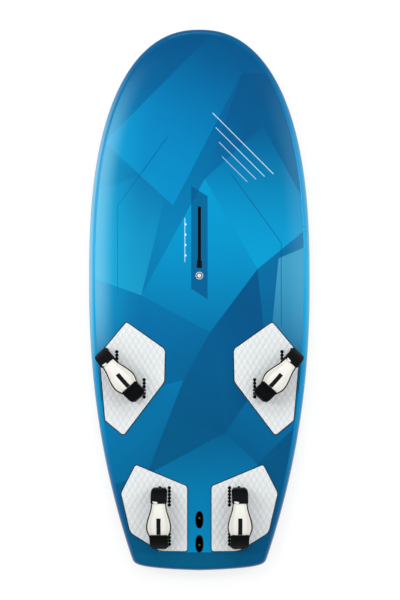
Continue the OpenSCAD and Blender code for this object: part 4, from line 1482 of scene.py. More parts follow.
@dataclass
class Pad:
    """One deck pad: a dark base and a pale top with diamond grooves."""

    station: Station
    side: int
    finishes: Finishes
    base: float = 1.6 * MM
    top: float = 5.0 * MM
    lip: float = 3.3 * MM
    border: float = 6.0 * MM
    diamond: Point2 = (0.023, 0.039)
    groove: float = 1.9 * MM
    depth: float = 1.2 * MM
    slope: float = 1.4 * MM
    hole: float = 6.8 * MM
    side_step: float = 14 * MM

    def outline(self) -> list[Point2]:
        """Outline the pad to starboard, with points along its straight sides too."""
        tail = FORM.tail

        def rail(from_tail: float, gap: float) -> float:
            """Give X at a gap inside the rail."""
            return FORM.half_width(tail + from_tail) - gap

        if self.station is Station.FRONT:
            corners = [
                (0.277, 0.948, 0.012),
                (0.127, 0.842, 0.026),
                (0.130, 0.717, 0.030),
                (0.287, 0.510, 0.014),
                (rail(0.570, 0.024), 0.570, 0.016),
                (rail(0.822, 0.030), 0.822, 0.016),
            ]
        else:
            corners = [
                (0.243, 0.407, 0.012),
                (0.043, 0.324, 0.016),
                (0.043, 0.073, 0.012),
                (0.150, 0.074, 0.060),
                (0.264, 0.144, 0.040),
                (rail(0.296, 0.030), 0.296, 0.026),
            ]
        turns = rounded([(x, tail + y, r) for x, y, r in corners], 9.0)
        points: list[Point2] = []
        for (x0, y0), (x1, y1) in zip(turns, turns[1:] + turns[:1]):
            count = max(1, round(math.hypot(x1 - x0, y1 - y0) / self.side_step))
            points += [(x0 + (x1 - x0) * k / count, y0 + (y1 - y0) * k / count) for k in range(count)]
        return points

    def _sheet(self, insets: Sequence[float]) -> Shell:
        """Lay the flat outline.

        Args:
            insets: The first is cut off all round; each further one leaves a ring.

        Returns:
            The sheet, with the face layer "field" set on the part inside every ring.
        """
        shell = Shell()
        bm = shell.bm
        mark = bm.faces.layers.int.new("field")
        bm.verts.layers.float.new("dip")
        bm.verts.layers.float.new("rim")
        face = bm.faces.new([bm.verts.new((x, y, 0)) for x, y in drawn_in(self.outline(), insets[0])])
        face.normal_update()
        if face.normal.z < 0:
            face.normal_flip()
        for inset in insets[1:]:
            bmesh.ops.inset_region(bm, faces=[face], thickness=inset, use_even_offset=True)
        for other in bm.faces:
            other[mark] = 0
        face[mark] = 1
        inner = set(face.verts)
        rim = bm.verts.layers.float["rim"]
        for vert in bm.verts:
            vert[rim] = 0.0 if vert in inner else 1.0
        return shell

    def _groove_lines(self) -> list[tuple[Vector, float]]:
        """List the grooves as a direction across each and its distance from the origin."""
        half_w, half_l = self.diamond[0] / 2, self.diamond[1] / 2
        reach = math.hypot(half_w, half_l)
        spacing = 2 * half_w * half_l / reach
        lines = []
        for lean in (-1, 1):
            across = Vector((half_l / reach, lean * half_w / reach, 0))
            spots = [across.dot(Vector((x, y, 0))) for x, y in self.outline()]
            first, last = math.ceil(min(spots) / spacing), math.floor(max(spots) / spacing)
            lines += [(across, k * spacing) for k in range(first, last + 1)]
        return lines

    def _slice(self, shell: Shell, steps: Sequence[float]) -> None:
        """Cut the field of a flat sheet along every groove, at steps either side of it."""
        bm = shell.bm
        mark = bm.faces.layers.int["field"]
        for across, distance in self._groove_lines():
            for step in steps:
                field = [f for f in bm.faces if f[mark]]
                edges = {e for f in field for e in f.edges}
                verts = {v for f in field for v in f.verts}
                bmesh.ops.bisect_plane(
                    bm,
                    geom=[*field, *edges, *verts],
                    dist=1e-6,
                    plane_co=across * (distance + step * self.groove),
                    plane_no=across,
                )

    def _grooved(self) -> Shell:
        """Lay the top with its grooves marked in the flat."""
        shell = self._sheet((self.lip, self.border, self.slope))
        self._slice(shell, (-1.0, -0.5, 0.0, 0.5, 1.0))
        bm = shell.bm
        mark = bm.faces.layers.int["field"]
        dip, rim = bm.verts.layers.float["dip"], bm.verts.layers.float["rim"]
        lines = self._groove_lines()
        for vert in {v for f in bm.faces if f[mark] for v in f.verts}:
            gap = min(abs(across.dot(vert.co) - distance) for across, distance in lines)
            vert[dip] = -self.depth * (1 - smooth(gap / self.groove))
            vert[rim] = 0.0
        return shell

    def _raise(self, shell: Shell, low: float, high: float, round_edge: float) -> Shell:
        """Give a flat sheet its thickness, round its top edge and lay it on the deck."""
        bm = shell.bm
        dip = bm.verts.layers.float["dip"]
        made = bmesh.ops.extrude_face_region(bm, geom=bm.faces[:], use_keep_orig=True)
        top = {g for g in made["geom"] if isinstance(g, bmesh.types.BMVert)}
        for vert in bm.verts:
            vert.co.z = high - low + vert[dip] if vert in top else 0.0
        shell.outward()
        rim = [
            e
            for e in bm.edges
            if len(e.link_faces) == 2
            and e.calc_face_angle(0) > math.radians(60)
            and all(v in top for v in e.verts)
        ]
        bmesh.ops.bevel(
            bm, geom=rim, offset=round_edge, segments=3, profile=0.5, affect="EDGES", material=-1
        )
        for vert in bm.verts:
            vert.co.z += low + FORM.deck(vert.co.x, vert.co.y)
        many = [f for f in bm.faces if len(f.verts) > 4]
        bmesh.ops.triangulate(bm, faces=many)
        return shell.outward()

    def _holes(self) -> Shell:
        """Make the cutter for the scalloped openings over the inserts."""
        bite, lone = math.degrees(math.asin(PLAN.pitch / 2 / self.hole)), 90.0
        outline: list[Point2] = []
        for side in (0, 180):
            order = range(PLAN.holes) if side == 0 else range(PLAN.holes - 1, -1, -1)
            for k in order:
                first = -lone if k == order[0] else -bite
                last = lone if k == order[-1] else bite
                y = (k - (PLAN.holes - 1) / 2) * PLAN.pitch
                for i in range(13):
                    angle = math.radians(side + first + (last - first) * i / 12)
                    outline.append((self.hole * math.cos(angle), y + self.hole * math.sin(angle)))
        tidy: list[Point2] = []
        for point in outline:
            if not tidy or math.dist(point, tidy[-1]) > 1e-5:
                tidy.append(point)
        if math.dist(tidy[0], tidy[-1]) < 1e-5:
            tidy.pop()
        cutter = Shell()
        for end in End:
            for spare in (False, True):
                made = cutter.prism(tidy, -0.006, 0.016)
                frame = PLAN.row_frame(self.station, end, spare)
                bmesh.ops.transform(cutter.bm, matrix=frame, verts=made)
        return cutter

    def build(self) -> None:
        """Make both layers."""
        name = seat_name(self.station, self.side)
        base = self._sheet((0.0, 3.0 * MM))
        self._slice(base, (0.0,))
        self._raise(base, 0.0, self.base, 0.5 * MM)
        top = self._raise(self._grooved(), self.base, self.base + self.top, 1.4 * MM)
        for shell, kind, slot, finish in (
            (base, "pad_base", "pad_dark", self.finishes.pad_base),
            (top, "pad", "pad_pale", self.finishes.pad),
        ):
            piece = shell.piece(f"{name}_{kind}_foam")
            carve(piece, self._holes())
            if self.side < 0:
                twin = Shell()
                twin.bm.from_mesh(piece.data)
                twin.move(Matrix.Diagonal((-1, 1, 1, 1)))
                twin.bm.to_mesh(piece.data)
                twin.bm.free()
            shade(piece, 38)
            wear(piece, finish)
            place(piece, "board", slot, f"{name}_{kind}")


def place(piece: bpy.types.Object, body: str, slot: str, *nodes: str) -> None:
    """Ride a piece on its body and hide the nodes that it stands for."""
    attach(piece, body)
    if nodes:
        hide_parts(*nodes)
    log.info("%s: %d faces", piece.name, len(piece.data.polygons))


# ---------------------------------------------------------------- straps


@dataclass(frozen=True)
class Arch:
    """The side view of a strap, as a line from its fore tongue to its aft tongue."""

    half_length: float = 0.106
    height: float = 0.086
    waist: float = 0.024
    squareness: float = 2.2
    foot: float = 0.011
    tongue_end: float = 0.054

    def points(self) -> np.ndarray:
        """Sample the line, from fore to aft."""
        a, r = self.half_length, self.foot
        half = [(self.tongue_end + (a - r - self.tongue_end) * k / 12, 0.0) for k in range(13)]
        for k in range(1, 13):
            angle = math.pi / 2 * k / 12
            half.append((a - r + r * math.sin(angle), r - r * math.cos(angle)))
        half += [(a, r + (self.waist - r) * k / 6) for k in range(1, 7)]
        for k in range(1, 181):
            angle = math.pi / 2 * k / 180
            rise = (self.height - self.waist) * math.sin(angle) ** (2 / self.squareness)
            half.append((a * max(0.0, math.cos(angle)) ** (2 / self.squareness), self.waist + rise))
        fore = [(-u, w) for u, w in half]
        return np.array(fore + half[-2::-1])


class Path:
    """A strap's side view that can be read at any length along it."""

    def __init__(self, arch: Arch) -> None:
        """Sample the arch and measure it."""
        self.arch = arch
        raw = arch.points()
        run = np.concatenate([[0], np.cumsum(np.linalg.norm(np.diff(raw, axis=0), axis=1))])
        self.length = float(run[-1])
        self.run = np.linspace(0, self.length, 1600)
        self.u = np.interp(self.run, run, raw[:, 0])
        self.w = np.interp(self.run, run, raw[:, 1])
        even = np.ones(15) / 15
        du = np.convolve(np.pad(np.gradient(self.u), 7, mode="edge"), even, mode="valid")
        dw = np.convolve(np.pad(np.gradient(self.w), 7, mode="edge"), even, mode="valid")
        size = np.hypot(du, dw)
        self.nu, self.nw = -dw / size, du / size

    def _read(self, run: float, *lines: np.ndarray) -> list[float]:
        """Read sampled lines at a length along."""
        return [float(np.interp(run, self.run, line)) for line in lines]

    def at(self, run: float, offset: float, across: float) -> Vector:
        """Give the point at a length along, an offset outwards and a place across."""
        u, w, nu, nw = self._read(run, self.u, self.w, self.nu, self.nw)
        return Vector((u + nu * offset, across, w + nw * offset))

    def normal(self, run: float) -> Vector:
        """Give the outward direction at a length along."""
        nu, nw = self._read(run, self.nu, self.nw)
        return Vector((nu, 0, nw)).normalized()

    def reach(self, run: float) -> float:
        """Give where a length lies in plan, from the strap's middle."""
        return self._read(run, self.u)[0]

    def foot(self, height: float, end: End) -> float:
        """Give the length at which one end of the strap rises past a height."""
        above = np.where(self.w >= height)[0]
        return float(self.run[above[0] if end is End.FORE else above[-1]])

    def over(self, u: float) -> float:
        """Give the length at which the arch passes over a place in plan."""
        high = np.where(self.w > self.arch.waist)[0]
        return float(np.interp(u, self.u[high], self.run[high]))


@dataclass(frozen=True)
class EndCover:
    """One end cover's half width, and the radius of its outer corners in plan."""

    half: float
    corner: float


END_COVERS = {End.FORE: EndCover(31 * MM, 13 * MM), End.AFT: EndCover(35 * MM, 17 * MM)}
Spots = list[tuple[Vector, Vector]]


def metres(length: float, width: float) -> Callable[[float, float], Point2]:
    """Map a grid's shares to metres along and across a strip."""
    return lambda a, b: (length * b, a * width)


@dataclass
class Strap:
    """A padded footstrap: webbing, lining, cover, bound edges, sewn strip and end covers."""

    finishes: Finishes
    fore_half: float = 28 * MM
    mid_half: float = 47 * MM
    aft_half: float = 34 * MM
    widest_at: float = 32 * MM
    fore_taper: float = 92 * MM
    aft_taper: float = 48 * MM
    binding: float = 3.8 * MM
    webbing_t: float = 3.0 * MM
    lining_t: float = 5.0 * MM
    cover_t: float = 6.0 * MM
    sole: float = 12.2 * MM
    gap_half: float = 57 * MM
    flap_t: float = 3.8 * MM
    flap_gap: float = 0.35 * MM
    flap_seam: float = 4.6 * MM
    flap_foot: float = 9.2 * MM
    strip: tuple[float, float, float] = (16 * MM, -4 * MM, 56 * MM)
    stitch: float = 4.2 * MM
    swell: float = 1.3 * MM
    swell_frames: int = 16
    path: Path = field(default_factory=lambda: Path(Arch()))
    forms: dict[str, Shell] = field(default_factory=dict)

    def half(self, u: float) -> float:
        """Give the strap's half width at a place in plan."""
        if u < self.widest_at:
            share = smooth_cosine(1 - (self.widest_at - u) / self.fore_taper)
            return self.fore_half + (self.mid_half - self.fore_half) * share
        share = smooth_cosine(1 - (u - self.widest_at) / self.aft_taper)
        return self.aft_half + (self.mid_half - self.aft_half) * share

    def _band(
        self,
        start: float,
        stop: float,
        section: Callable[[float, float], tuple[float, float]],
        around: int,
        along: int,
    ) -> Shell:
        """Sweep a closed section along the strap.

        Args:
            start: Length at which it starts.
            stop: Length at which it ends.
            section: Gives the place across and the offset at a share round and a length.
            around: Cells round the section.
            along: Cells along the strap.

        Returns:
            The closed sweep, mapped in metres along and round it.
        """

        def spot(a: float, b: float) -> Vector:
            """Place one point."""
            run = start + (stop - start) * b
            across, offset = section(a % 1.0, run)
            return self.path.at(run, offset, across)

        cloth = metres(stop - start, 4 * self.mid_half)
        return Shell().grid(around, along, spot, cloth).weld(2e-5).cap().outward()

    def _flat(self, low: float, high: float, edge: float, corner: float, tongue: float) -> Callable:
        """Make the section of a flat band.

        Args:
            low: Its inner offset.
            high: Its outer offset.
            edge: How far inside the strap's own edge it ends.
            corner: Radius of its long edges.
            tongue: Half width of the tongues that lie flat under the arch.

        Returns:
            The section.
        """

        def section(a: float, run: float) -> tuple[float, float]:
            """Go once round: the outer face, one edge, the inner face and the other edge."""
            half = self.half(self.path.reach(run)) - edge
            from_end = min(run, self.path.length - run)
            flat = self.path.arch.half_length - self.path.arch.tongue_end
            lying = smooth((flat - 2 * MM - from_end) / (14 * MM))
            round_end = 7 * MM - math.sqrt(max(0.0, (7 * MM) ** 2 - max(0.0, 7 * MM - from_end) ** 2))
            half += (min(half, tongue) - half) * lying - round_end
            middle, reach = (low + high) / 2, (high - low) / 2
            side = 1 if a < 0.5 else -1
            share = (a % 0.5) * 2
            if share < 0.8:
                across = -1 + 2 * share / 0.8
                return side * across * (half - corner), middle + side * reach
            angle = math.pi / 2 - math.pi * (share - 0.8) / 0.2
            blend = signed_power(math.sin(angle), 0.8)
            return side * (half - corner + corner * max(0.0, math.cos(angle))), middle + side * reach * blend

        return section

    def _crown(self, s: float, u: float) -> float:
        """Give the cover's height over the webbing.

        Args:
            s: Place across it, from -1 to 1.
            u: Place along it, in plan.

        Returns:
            The height before the padding swells.
        """
        size = abs(s)
        plain = 3.2 * MM + 2.8 * MM * max(0.0, 1 - size**2.6) ** 0.6
        lobe = 4.6 * MM + 2.0 * MM * smooth((0.62 - size) / 0.22)
        rim = 1.0 * MM * math.exp(-(((size - 0.90) / 0.05) ** 2))
        edge = 1.8 * MM * smooth((size - 0.90) / 0.10)
        panelled = lobe + rim - edge - 0.5 * MM * math.exp(-(((size - 0.68) / 0.16) ** 2))
        share = smooth((u + 58 * MM) / (40 * MM))
        height = plain + (panelled - plain) * share
        under = smooth((abs(u) - 46 * MM) / (9 * MM))
        return height + (min(height, 5.6 * MM) - height) * under

    def _cover_form(self) -> Shell:
        """Shape the padded cover, and let its padding swell between the seams."""
        start, stop = self.path.foot(11.2 * MM, End.FORE), self.path.foot(11.2 * MM, End.AFT)
        top, around, along = 44, 56, 150

        def section(a: float, run: float) -> tuple[float, float]:
            """Go over the top from edge to edge, and back underneath."""
            u = self.path.reach(run)
            half = self.half(u) - self.binding
            index = a * around
            if index <= top:
                s = -1 + 2 * index / top
                return s * half, self._crown(s, u)
            s = 1 - 2 * (index - top) / (around - top)
            return s * half, 0.1 * MM

        shell = self._band(start, stop, section, around, along)
        return self._swell(shell)

    def _swell(self, shell: Shell) -> Shell:
        """Blow up the padding under pressure, with the sewn lines held."""
        body = Shell().join(shell).piece("cover_padding", soft=False)
        sewn = body.vertex_groups.new(name="sewn")
        rest = [v.co.copy() for v in body.data.vertices]
        high = self.path.arch.waist
        free = set()
        for vert in body.data.vertices:
            u, across, w = vert.co
            half = self.half(u) - self.binding
            s = abs(across) / half
            run = self.path.over(u) if w > high else None
            lifted = False
            if run is not None:
                lifted = (vert.co - self.path.at(run, 0, across)).dot(self.path.normal(run)) > 2 * MM
            strip = abs(across) < self.strip[0] / 2 + 1 * MM and u > self.strip[1] - 2 * MM
            seam = 0.56 < s < 0.61 and u > -34 * MM
            if lifted and s < 0.86 and not strip and not seam and abs(u) < self.gap_half - 6 * MM:
                free.add(vert.index)
        sewn.add([v.index for v in body.data.vertices if v.index not in free], 1.0, "REPLACE")
        cloth = body.modifiers.new("padding", "CLOTH")
        cloth.settings.quality = 6
        cloth.settings.mass = 0.15
        cloth.settings.tension_stiffness = 12
        cloth.settings.compression_stiffness = 12
        cloth.settings.bending_stiffness = 0.3
        cloth.settings.use_pressure = True
        cloth.settings.uniform_pressure_force = 4.0
        cloth.settings.vertex_group_mass = "sewn"
        cloth.settings.effector_weights.gravity = 0.0
        cloth.collision_settings.use_collision = False
        scene = bpy.context.scene
        for frame in range(1, self.swell_frames + 1):
            scene.frame_set(frame)
        graph = bpy.context.evaluated_depsgraph_get()
        moved = [v.co.copy() for v in body.evaluated_get(graph).data.vertices]
        scene.frame_set(1)
        bpy.data.objects.remove(body)
        shell.bm.verts.ensure_lookup_table()
        for index in free:
            shift = moved[index] - rest[index]
            if shift.length > self.swell:
                shift *= self.swell / shift.length
            shell.bm.verts[index].co = rest[index] + shift
        log.info("the cover's padding swelled at %d points", len(free))
        return shell

    def _rim(self, side: int) -> Shell:
        """Shape the bound edge on one side."""
        start, stop = self.path.foot(self.sole, End.FORE), self.path.foot(self.sole, End.AFT)
        low, high = -6.8 * MM, 3.9 * MM

        def section(a: float, run: float) -> tuple[float, float]:
            """Go round a rounded bar."""
            half = self.half(self.path.reach(run)) - self.binding / 2 + 0.1 * MM
            angle = 2 * math.pi * a
            across = signed_power(math.cos(angle), 0.55) * (self.binding / 2 + 0.25 * MM)
            offset = (low + high) / 2 + signed_power(math.sin(angle), 0.55) * (high - low) / 2
            return side * half + across, offset

        return self._band(start, stop, section, 20, 110)

    def _strip_form(self) -> Shell:
        """Shape the plain strip that is sewn along the cover's middle."""
        width, fore, aft = self.strip
        start, stop = self.path.over(fore), self.path.over(aft)

        def spot(a: float, b: float) -> Vector:
            """Place one point of the strip's outer face."""
            run = start + (stop - start) * b
            across = (2 * a - 1) * width / 2
            u = self.path.reach(run)
            base = self._crown(across / (self.half(u) - self.binding), u)
            edge = min(width / 2 - abs(across), (run - start), 4 * MM)
            return self.path.at(run, base + 0.25 * MM + 0.75 * MM * smooth(edge / (1.6 * MM)), across)

        return self._thicken(Shell().grid(20, 70, spot, metres(stop - start, width)), 0.9 * MM)

    @staticmethod
    def _thicken(shell: Shell, thickness: float) -> Shell:
        """Give a sheet a wall inwards."""
        faces = shell.bm.faces[:]
        for face in faces:
            face.normal_update()
        up = sum((f.normal.z for f in faces), 0.0)
        if up < 0:
            bmesh.ops.reverse_faces(shell.bm, faces=faces)
        bmesh.ops.solidify(shell.bm, geom=faces, thickness=thickness)
        return shell.outward()

    def _flap_runs(self, end: End) -> tuple[float, float, float]:
        """Give the lengths at which an end cover has its foot, its free edge and its outmost line."""
        low, free = self.path.foot(self.flap_foot, end), self.path.over(-self.gap_half * end.value)
        runs = [low + (free - low) * k / 60 for k in range(61)]
        return low, free, max(runs, key=self._flap_reach)

    def _flap_reach(self, run: float) -> float:
        """Give how far out in plan an end cover's inner face lies."""
        return abs(self.path.reach(run)) + self.cover_t * abs(self.path.normal(run).x)

    def _plan_half(self, end: End, run: float) -> float:
        """Give an end cover's half width, less towards its outer corners, which are round in plan."""
        corner = END_COVERS[end].corner
        outmost = self.path.arch.half_length + self.cover_t + 0.3 * MM
        past = min(max(0.0, self._flap_reach(run) - outmost + corner - 1 * MM), 0.9 * corner)
        return END_COVERS[end].half - corner + math.sqrt(corner**2 - past**2)

    def _flap_form(self, end: End) -> Shell:
        """Shape the cover over one end, with its turned edge and sewn channel."""
        half_w = END_COVERS[end].half
        foot_round, top_round = 9 * MM, 5 * MM
        inner = self.cover_t + self.flap_gap
        low, free, outmost = self._flap_runs(end)
        length, turn = abs(free - low), abs(outmost - low)

        def half_at(t: float) -> float:
            """Give the half width at a distance up from the foot."""
            half = self._plan_half(end, low + (free - low) * max(t, turn) / length)
            foot = max(0.0, foot_round - t)
            half = min(half, half_w - foot_round + math.sqrt(max(0.0, foot_round**2 - foot**2)))
            top = max(0.0, top_round - (length - t))
            return half - (top_round - math.sqrt(max(0.0, top_round**2 - top**2)))

        def spread(b: float) -> float:
            """Bring the rows closer together near both ends."""
            return length * (b - math.sin(2 * math.pi * b) / (2 * math.pi) * 0.55)

        def thick(across: float, t: float, half: float) -> float:
            """Give the thickness: round at the edge, dipped along the seam, full inside."""
            gap = min(half - abs(across), t, length - t)
            body = (1 - min(1.0, gap / (2.4 * MM))) ** 2
            wall = 0.7 * MM + (self.flap_t - 1.0 * MM) * math.sqrt(max(0.0, 1 - body))
            seam = 0.75 * MM * math.exp(-(((gap - self.flap_seam) / (0.9 * MM)) ** 2))
            ripple = math.sin(across * 210 + 1.3 * end.value) * math.sin(t * 160 + across * 60)
            inside = smooth((gap - 6 * MM) / (8 * MM))
            return wall - seam + 0.32 * MM * ripple * inside

        def spot(outer: bool) -> Callable[[float, float], Vector]:
            """Make the placing of one face."""

            def place_point(a: float, b: float) -> Vector:
                """Place one point."""
                t = spread(b)
                half = max(0.5 * MM, half_at(t))
                share = 2 * a - 1
                across = half * (share + math.sin(math.pi * share) * 0.10)
                run = low + (free - low) * t / length
                offset = inner + (thick(across, t, half) if outer else 0.0)
                return self.path.at(run, offset, across)

            return place_point

        def cloth(a: float, b: float) -> Point2:
            """Map one point."""
            return (spread(b), (2 * a - 1) * half_w)

        columns, rows = 56, 92
        shell = Shell().grid(columns, rows, spot(True), cloth)
        shell.grid(columns, rows, spot(False), cloth)
        open_rim = [e for e in shell.bm.edges if e.is_boundary]
        bmesh.ops.bridge_loops(shell.bm, edges=open_rim)
        return shell.weld(1e-5).outward()

    def _steps(self, start: float, stop: float, pitch: float) -> Iterator[tuple[float, float, Vector]]:
        """Step between two lengths, and give each step's length, place in plan and direction."""
        count = int(abs(stop - start) / pitch)
        for k in range(count):
            run = start + (stop - start) * (k + 0.5) / count
            ahead = (self.path.at(run + 0.5 * MM, 0, 0) - self.path.at(run, 0, 0)).normalized()
            yield run, self.path.reach(run), ahead

    def _flap_seams(self, end: End) -> Shell:
        """Lay the stitches along an end cover's seam."""
        offset = self.cover_t + self.flap_gap + self.flap_t - 1.15 * MM
        low, free, outmost = self._flap_runs(end)
        way = 1 if free > low else -1
        lowest = max(20 * MM, abs(outmost - low))
        spots: Spots = []
        for run, _, ahead in self._steps(low + way * lowest, free - way * 6 * MM, self.stitch):
            y = self._plan_half(end, run) - self.flap_seam
            spots += [(self.path.at(run, offset, side * y), ahead) for side in (-1, 1)]
        half = END_COVERS[end].half - self.flap_seam
        across = int(2 * half / self.stitch)
        for k in range(across):
            y = -half + 2 * half * (k + 0.5) / across
            spots.append((self.path.at(free - way * self.flap_seam, offset, y), Vector((0, 1, 0))))
        return self._stitches(spots)

    def _cover_seams(self) -> Shell:
        """Lay the stitches beside the cover's bound edges, and along its panels aft of the waist."""
        spots: Spots = []
        for run, u, ahead in self._steps(self.path.over(-52 * MM), self.path.over(52 * MM), self.stitch):
            for side in (-1, 1):
                for s in (0.945,) if u < -34 * MM else (0.585, 0.945):
                    across = side * s * (self.half(u) - self.binding)
                    spots.append((self.path.at(run, self._crown(s, u) + 0.1 * MM, across), ahead))
        return self._stitches(spots)

    def _strip_seams(self) -> Shell:
        """Lay the dark stitches along the sewn strip."""
        width, fore, aft = self.strip
        spots: Spots = []
        start, stop = self.path.over(fore) + 1.2 * MM, self.path.over(aft)
        for run, u, ahead in self._steps(start, stop, self.stitch * 0.7):
            for side in (-1, 1):
                across = side * (width / 2 - 1.4 * MM)
                height = self._crown(across / (self.half(u) - self.binding), u) + 0.95 * MM
                spots.append((self.path.at(run, height, across), ahead))
        return self._stitches(spots)

    @staticmethod
    def _stitches(spots: Spots, length: float = 2.9 * MM, radius: float = 0.32 * MM) -> Shell:
        """Lay one short thread at each spot, along its direction."""
        shell = Shell()
        for centre, ahead in spots:
            turn = ahead.to_track_quat("Z", "Y").to_matrix().to_4x4()
            matrix = Matrix.Translation(centre) @ turn @ Matrix.Diagonal((radius, radius, length / 2, 1))
            bmesh.ops.create_uvsphere(shell.bm, u_segments=6, v_segments=5, radius=1.0, matrix=matrix)
        return shell

    def _pull_form(self) -> Shell:
        """Shape the folded pull tab at the fore cover's free edge."""
        free = self.path.over(-self.gap_half)
        width, out, back = 17 * MM, 2.6 * MM, 6.4 * MM

        def spot(a: float, b: float) -> Vector:
            """Place one point of the tab's outer face."""
            run = free - back + (out + back) * b
            depth = 1 - min(1.0, max(0.0, free - run) / (2.4 * MM))
            under = 0.9 * MM + (self.flap_t - 1.0 * MM) * math.sqrt(max(0.0, 1 - depth**2))
            slant = 1.2 * MM * (2 * a - 1)
            across = -13.5 * MM + (2 * a - 1) * width / 2
            return self.path.at(run + slant, self.cover_t + 0.9 * MM + under, across)

        shell = Shell().grid(16, 20, spot, metres(out + back, width))
        return self._thicken(shell, 0.8 * MM).soften(0.2 * MM, 2, 50)

    def _webbing_form(self) -> Shell:
        """Shape the webbing with the tongues that the screws go through."""
        low, high = -self.webbing_t + 0.05 * MM, -0.05 * MM
        section = self._flat(low, high, self.binding + 0.2 * MM, 1.2 * MM, 27 * MM)
        return self._band(0.2 * MM, self.path.length - 0.2 * MM, section, 48, 190)

    def _lining_form(self) -> Shell:
        """Shape the soft lining that the foot feels, a little crowned between its edges."""
        start, stop = self.path.foot(self.sole, End.FORE), self.path.foot(self.sole, End.AFT)

        def section(a: float, run: float) -> tuple[float, float]:
            """Go over the foot's side, and back along the webbing."""
            half = self.half(self.path.reach(run)) - self.binding - 0.1 * MM
            if a <= 0.75:
                s = 1 - 2 * a / 0.75
                depth = 3.4 * MM + 1.6 * MM * max(0.0, 1 - abs(s) ** 3) ** 0.7
                return s * half, -self.webbing_t - depth
            s = -1 + 2 * (a - 0.75) / 0.25
            return s * half, -self.webbing_t - 0.1 * MM

        return self._band(start, stop, section, 40, 110)

    def draft(self) -> None:
        """Shape every form once, in the strap's own frame."""
        self.forms = {
            "cover": self._cover_form(),
            "lining": self._lining_form(),
            "webbing": self._webbing_form(),
            "strip": self._strip_form(),
            "fore_flap": self._flap_form(End.FORE),
            "aft_flap": self._flap_form(End.AFT),
            "cover_seams": self._cover_seams(),
            "strip_seams": self._strip_seams(),
            "fore_flap_seams": self._flap_seams(End.FORE),
            "aft_flap_seams": self._flap_seams(End.AFT),
            "pull_tab": self._pull_form(),
        }
        self.forms["binding"] = self._rim(1).join(self._rim(-1))

    def _screw_holes(self, station: Station) -> Shell:
        """Make the cutter for the screw holes in the webbing's tongues, in the board's frame."""
        cutter = Shell()
        for end in End:
            frame = PLAN.seat_frame(station, end)
            for side in (-1, 1):
                made = cutter.rod(3.5 * MM, -1 * MM, 4 * MM, (0, side * PLAN.pitch), 24)
                bmesh.ops.transform(cutter.bm, matrix=frame, verts=made)
        return cutter

    def fit(self, station: Station, side: int) -> None:
        """Place one strap on the board.

        Args:
            station: Front or rear.
            side: 1 to starboard, -1 to port.
        """
        name = seat_name(station, side)
        frame = Matrix.Diagonal((side, 1, 1, 1)) @ PLAN.strap_frame(station)
        look = self.finishes
        fore, aft = f"{name}_fore_flap", f"{name}_aft_flap"
        plan: tuple[tuple[str, str, str, bpy.types.Material, str | None, str], ...] = (
            ("cover", "padded_cover", "cover_cream", look.cover, "cover", "board"),
            ("lining", "foot_lining", "lining", look.lining, "lining", "board"),
            ("webbing", "woven_webbing", "webbing", look.webbing, "webbing", "board"),
            ("binding", "bound_edges", "binding", look.binding, "binding", "board"),
            ("strip", "sewn_strip", "tab", look.tab, "tab", "board"),
            ("cover_seams", "cover_seams", "cover_cream", look.pale_thread, None, "board"),
            ("strip_seams", "strip_seams", "tab", look.dark_thread, None, "board"),
            ("fore_flap", "fore_end_cover", "flap_neoprene", look.flap, "fore_flap", fore),
            ("aft_flap", "aft_end_cover", "flap_neoprene", look.flap, "aft_flap", aft),
            ("fore_flap_seams", "fore_cover_seams", "flap_neoprene", look.dark_thread, None, fore),
            ("aft_flap_seams", "aft_cover_seams", "flap_neoprene", look.dark_thread, None, aft),
            ("pull_tab", "pull_tab", "cover_cream", look.pull, None, fore),
        )
        for form, title, slot, finish, node, body in plan:
            shape = Shell().join(self.forms[form])
            if form == "pull_tab" and side < 0:
                shape.move(Matrix.Diagonal((1, -1, 1, 1)))
            piece = shape.move(frame).piece(f"{name}_{title}")
            if form == "webbing":
                holes = self._screw_holes(station)
                if side < 0:
                    holes.move(Matrix.Diagonal((-1, 1, 1, 1)))
                carve(piece, holes)
                shade(piece, 40)
            wear(piece, finish)
            place(piece, body, slot, *([f"{name}_{node}"] if node else []))
            form in ("cover", "lining")


def smooth_cosine(share: float) -> float:
    """Ease a share from 0 to 1 along half a cosine."""
    return 0.5 - 0.5 * math.cos(math.pi * max(0.0, min(1.0, share)))


# ---------------------------------------------------------------- fittings


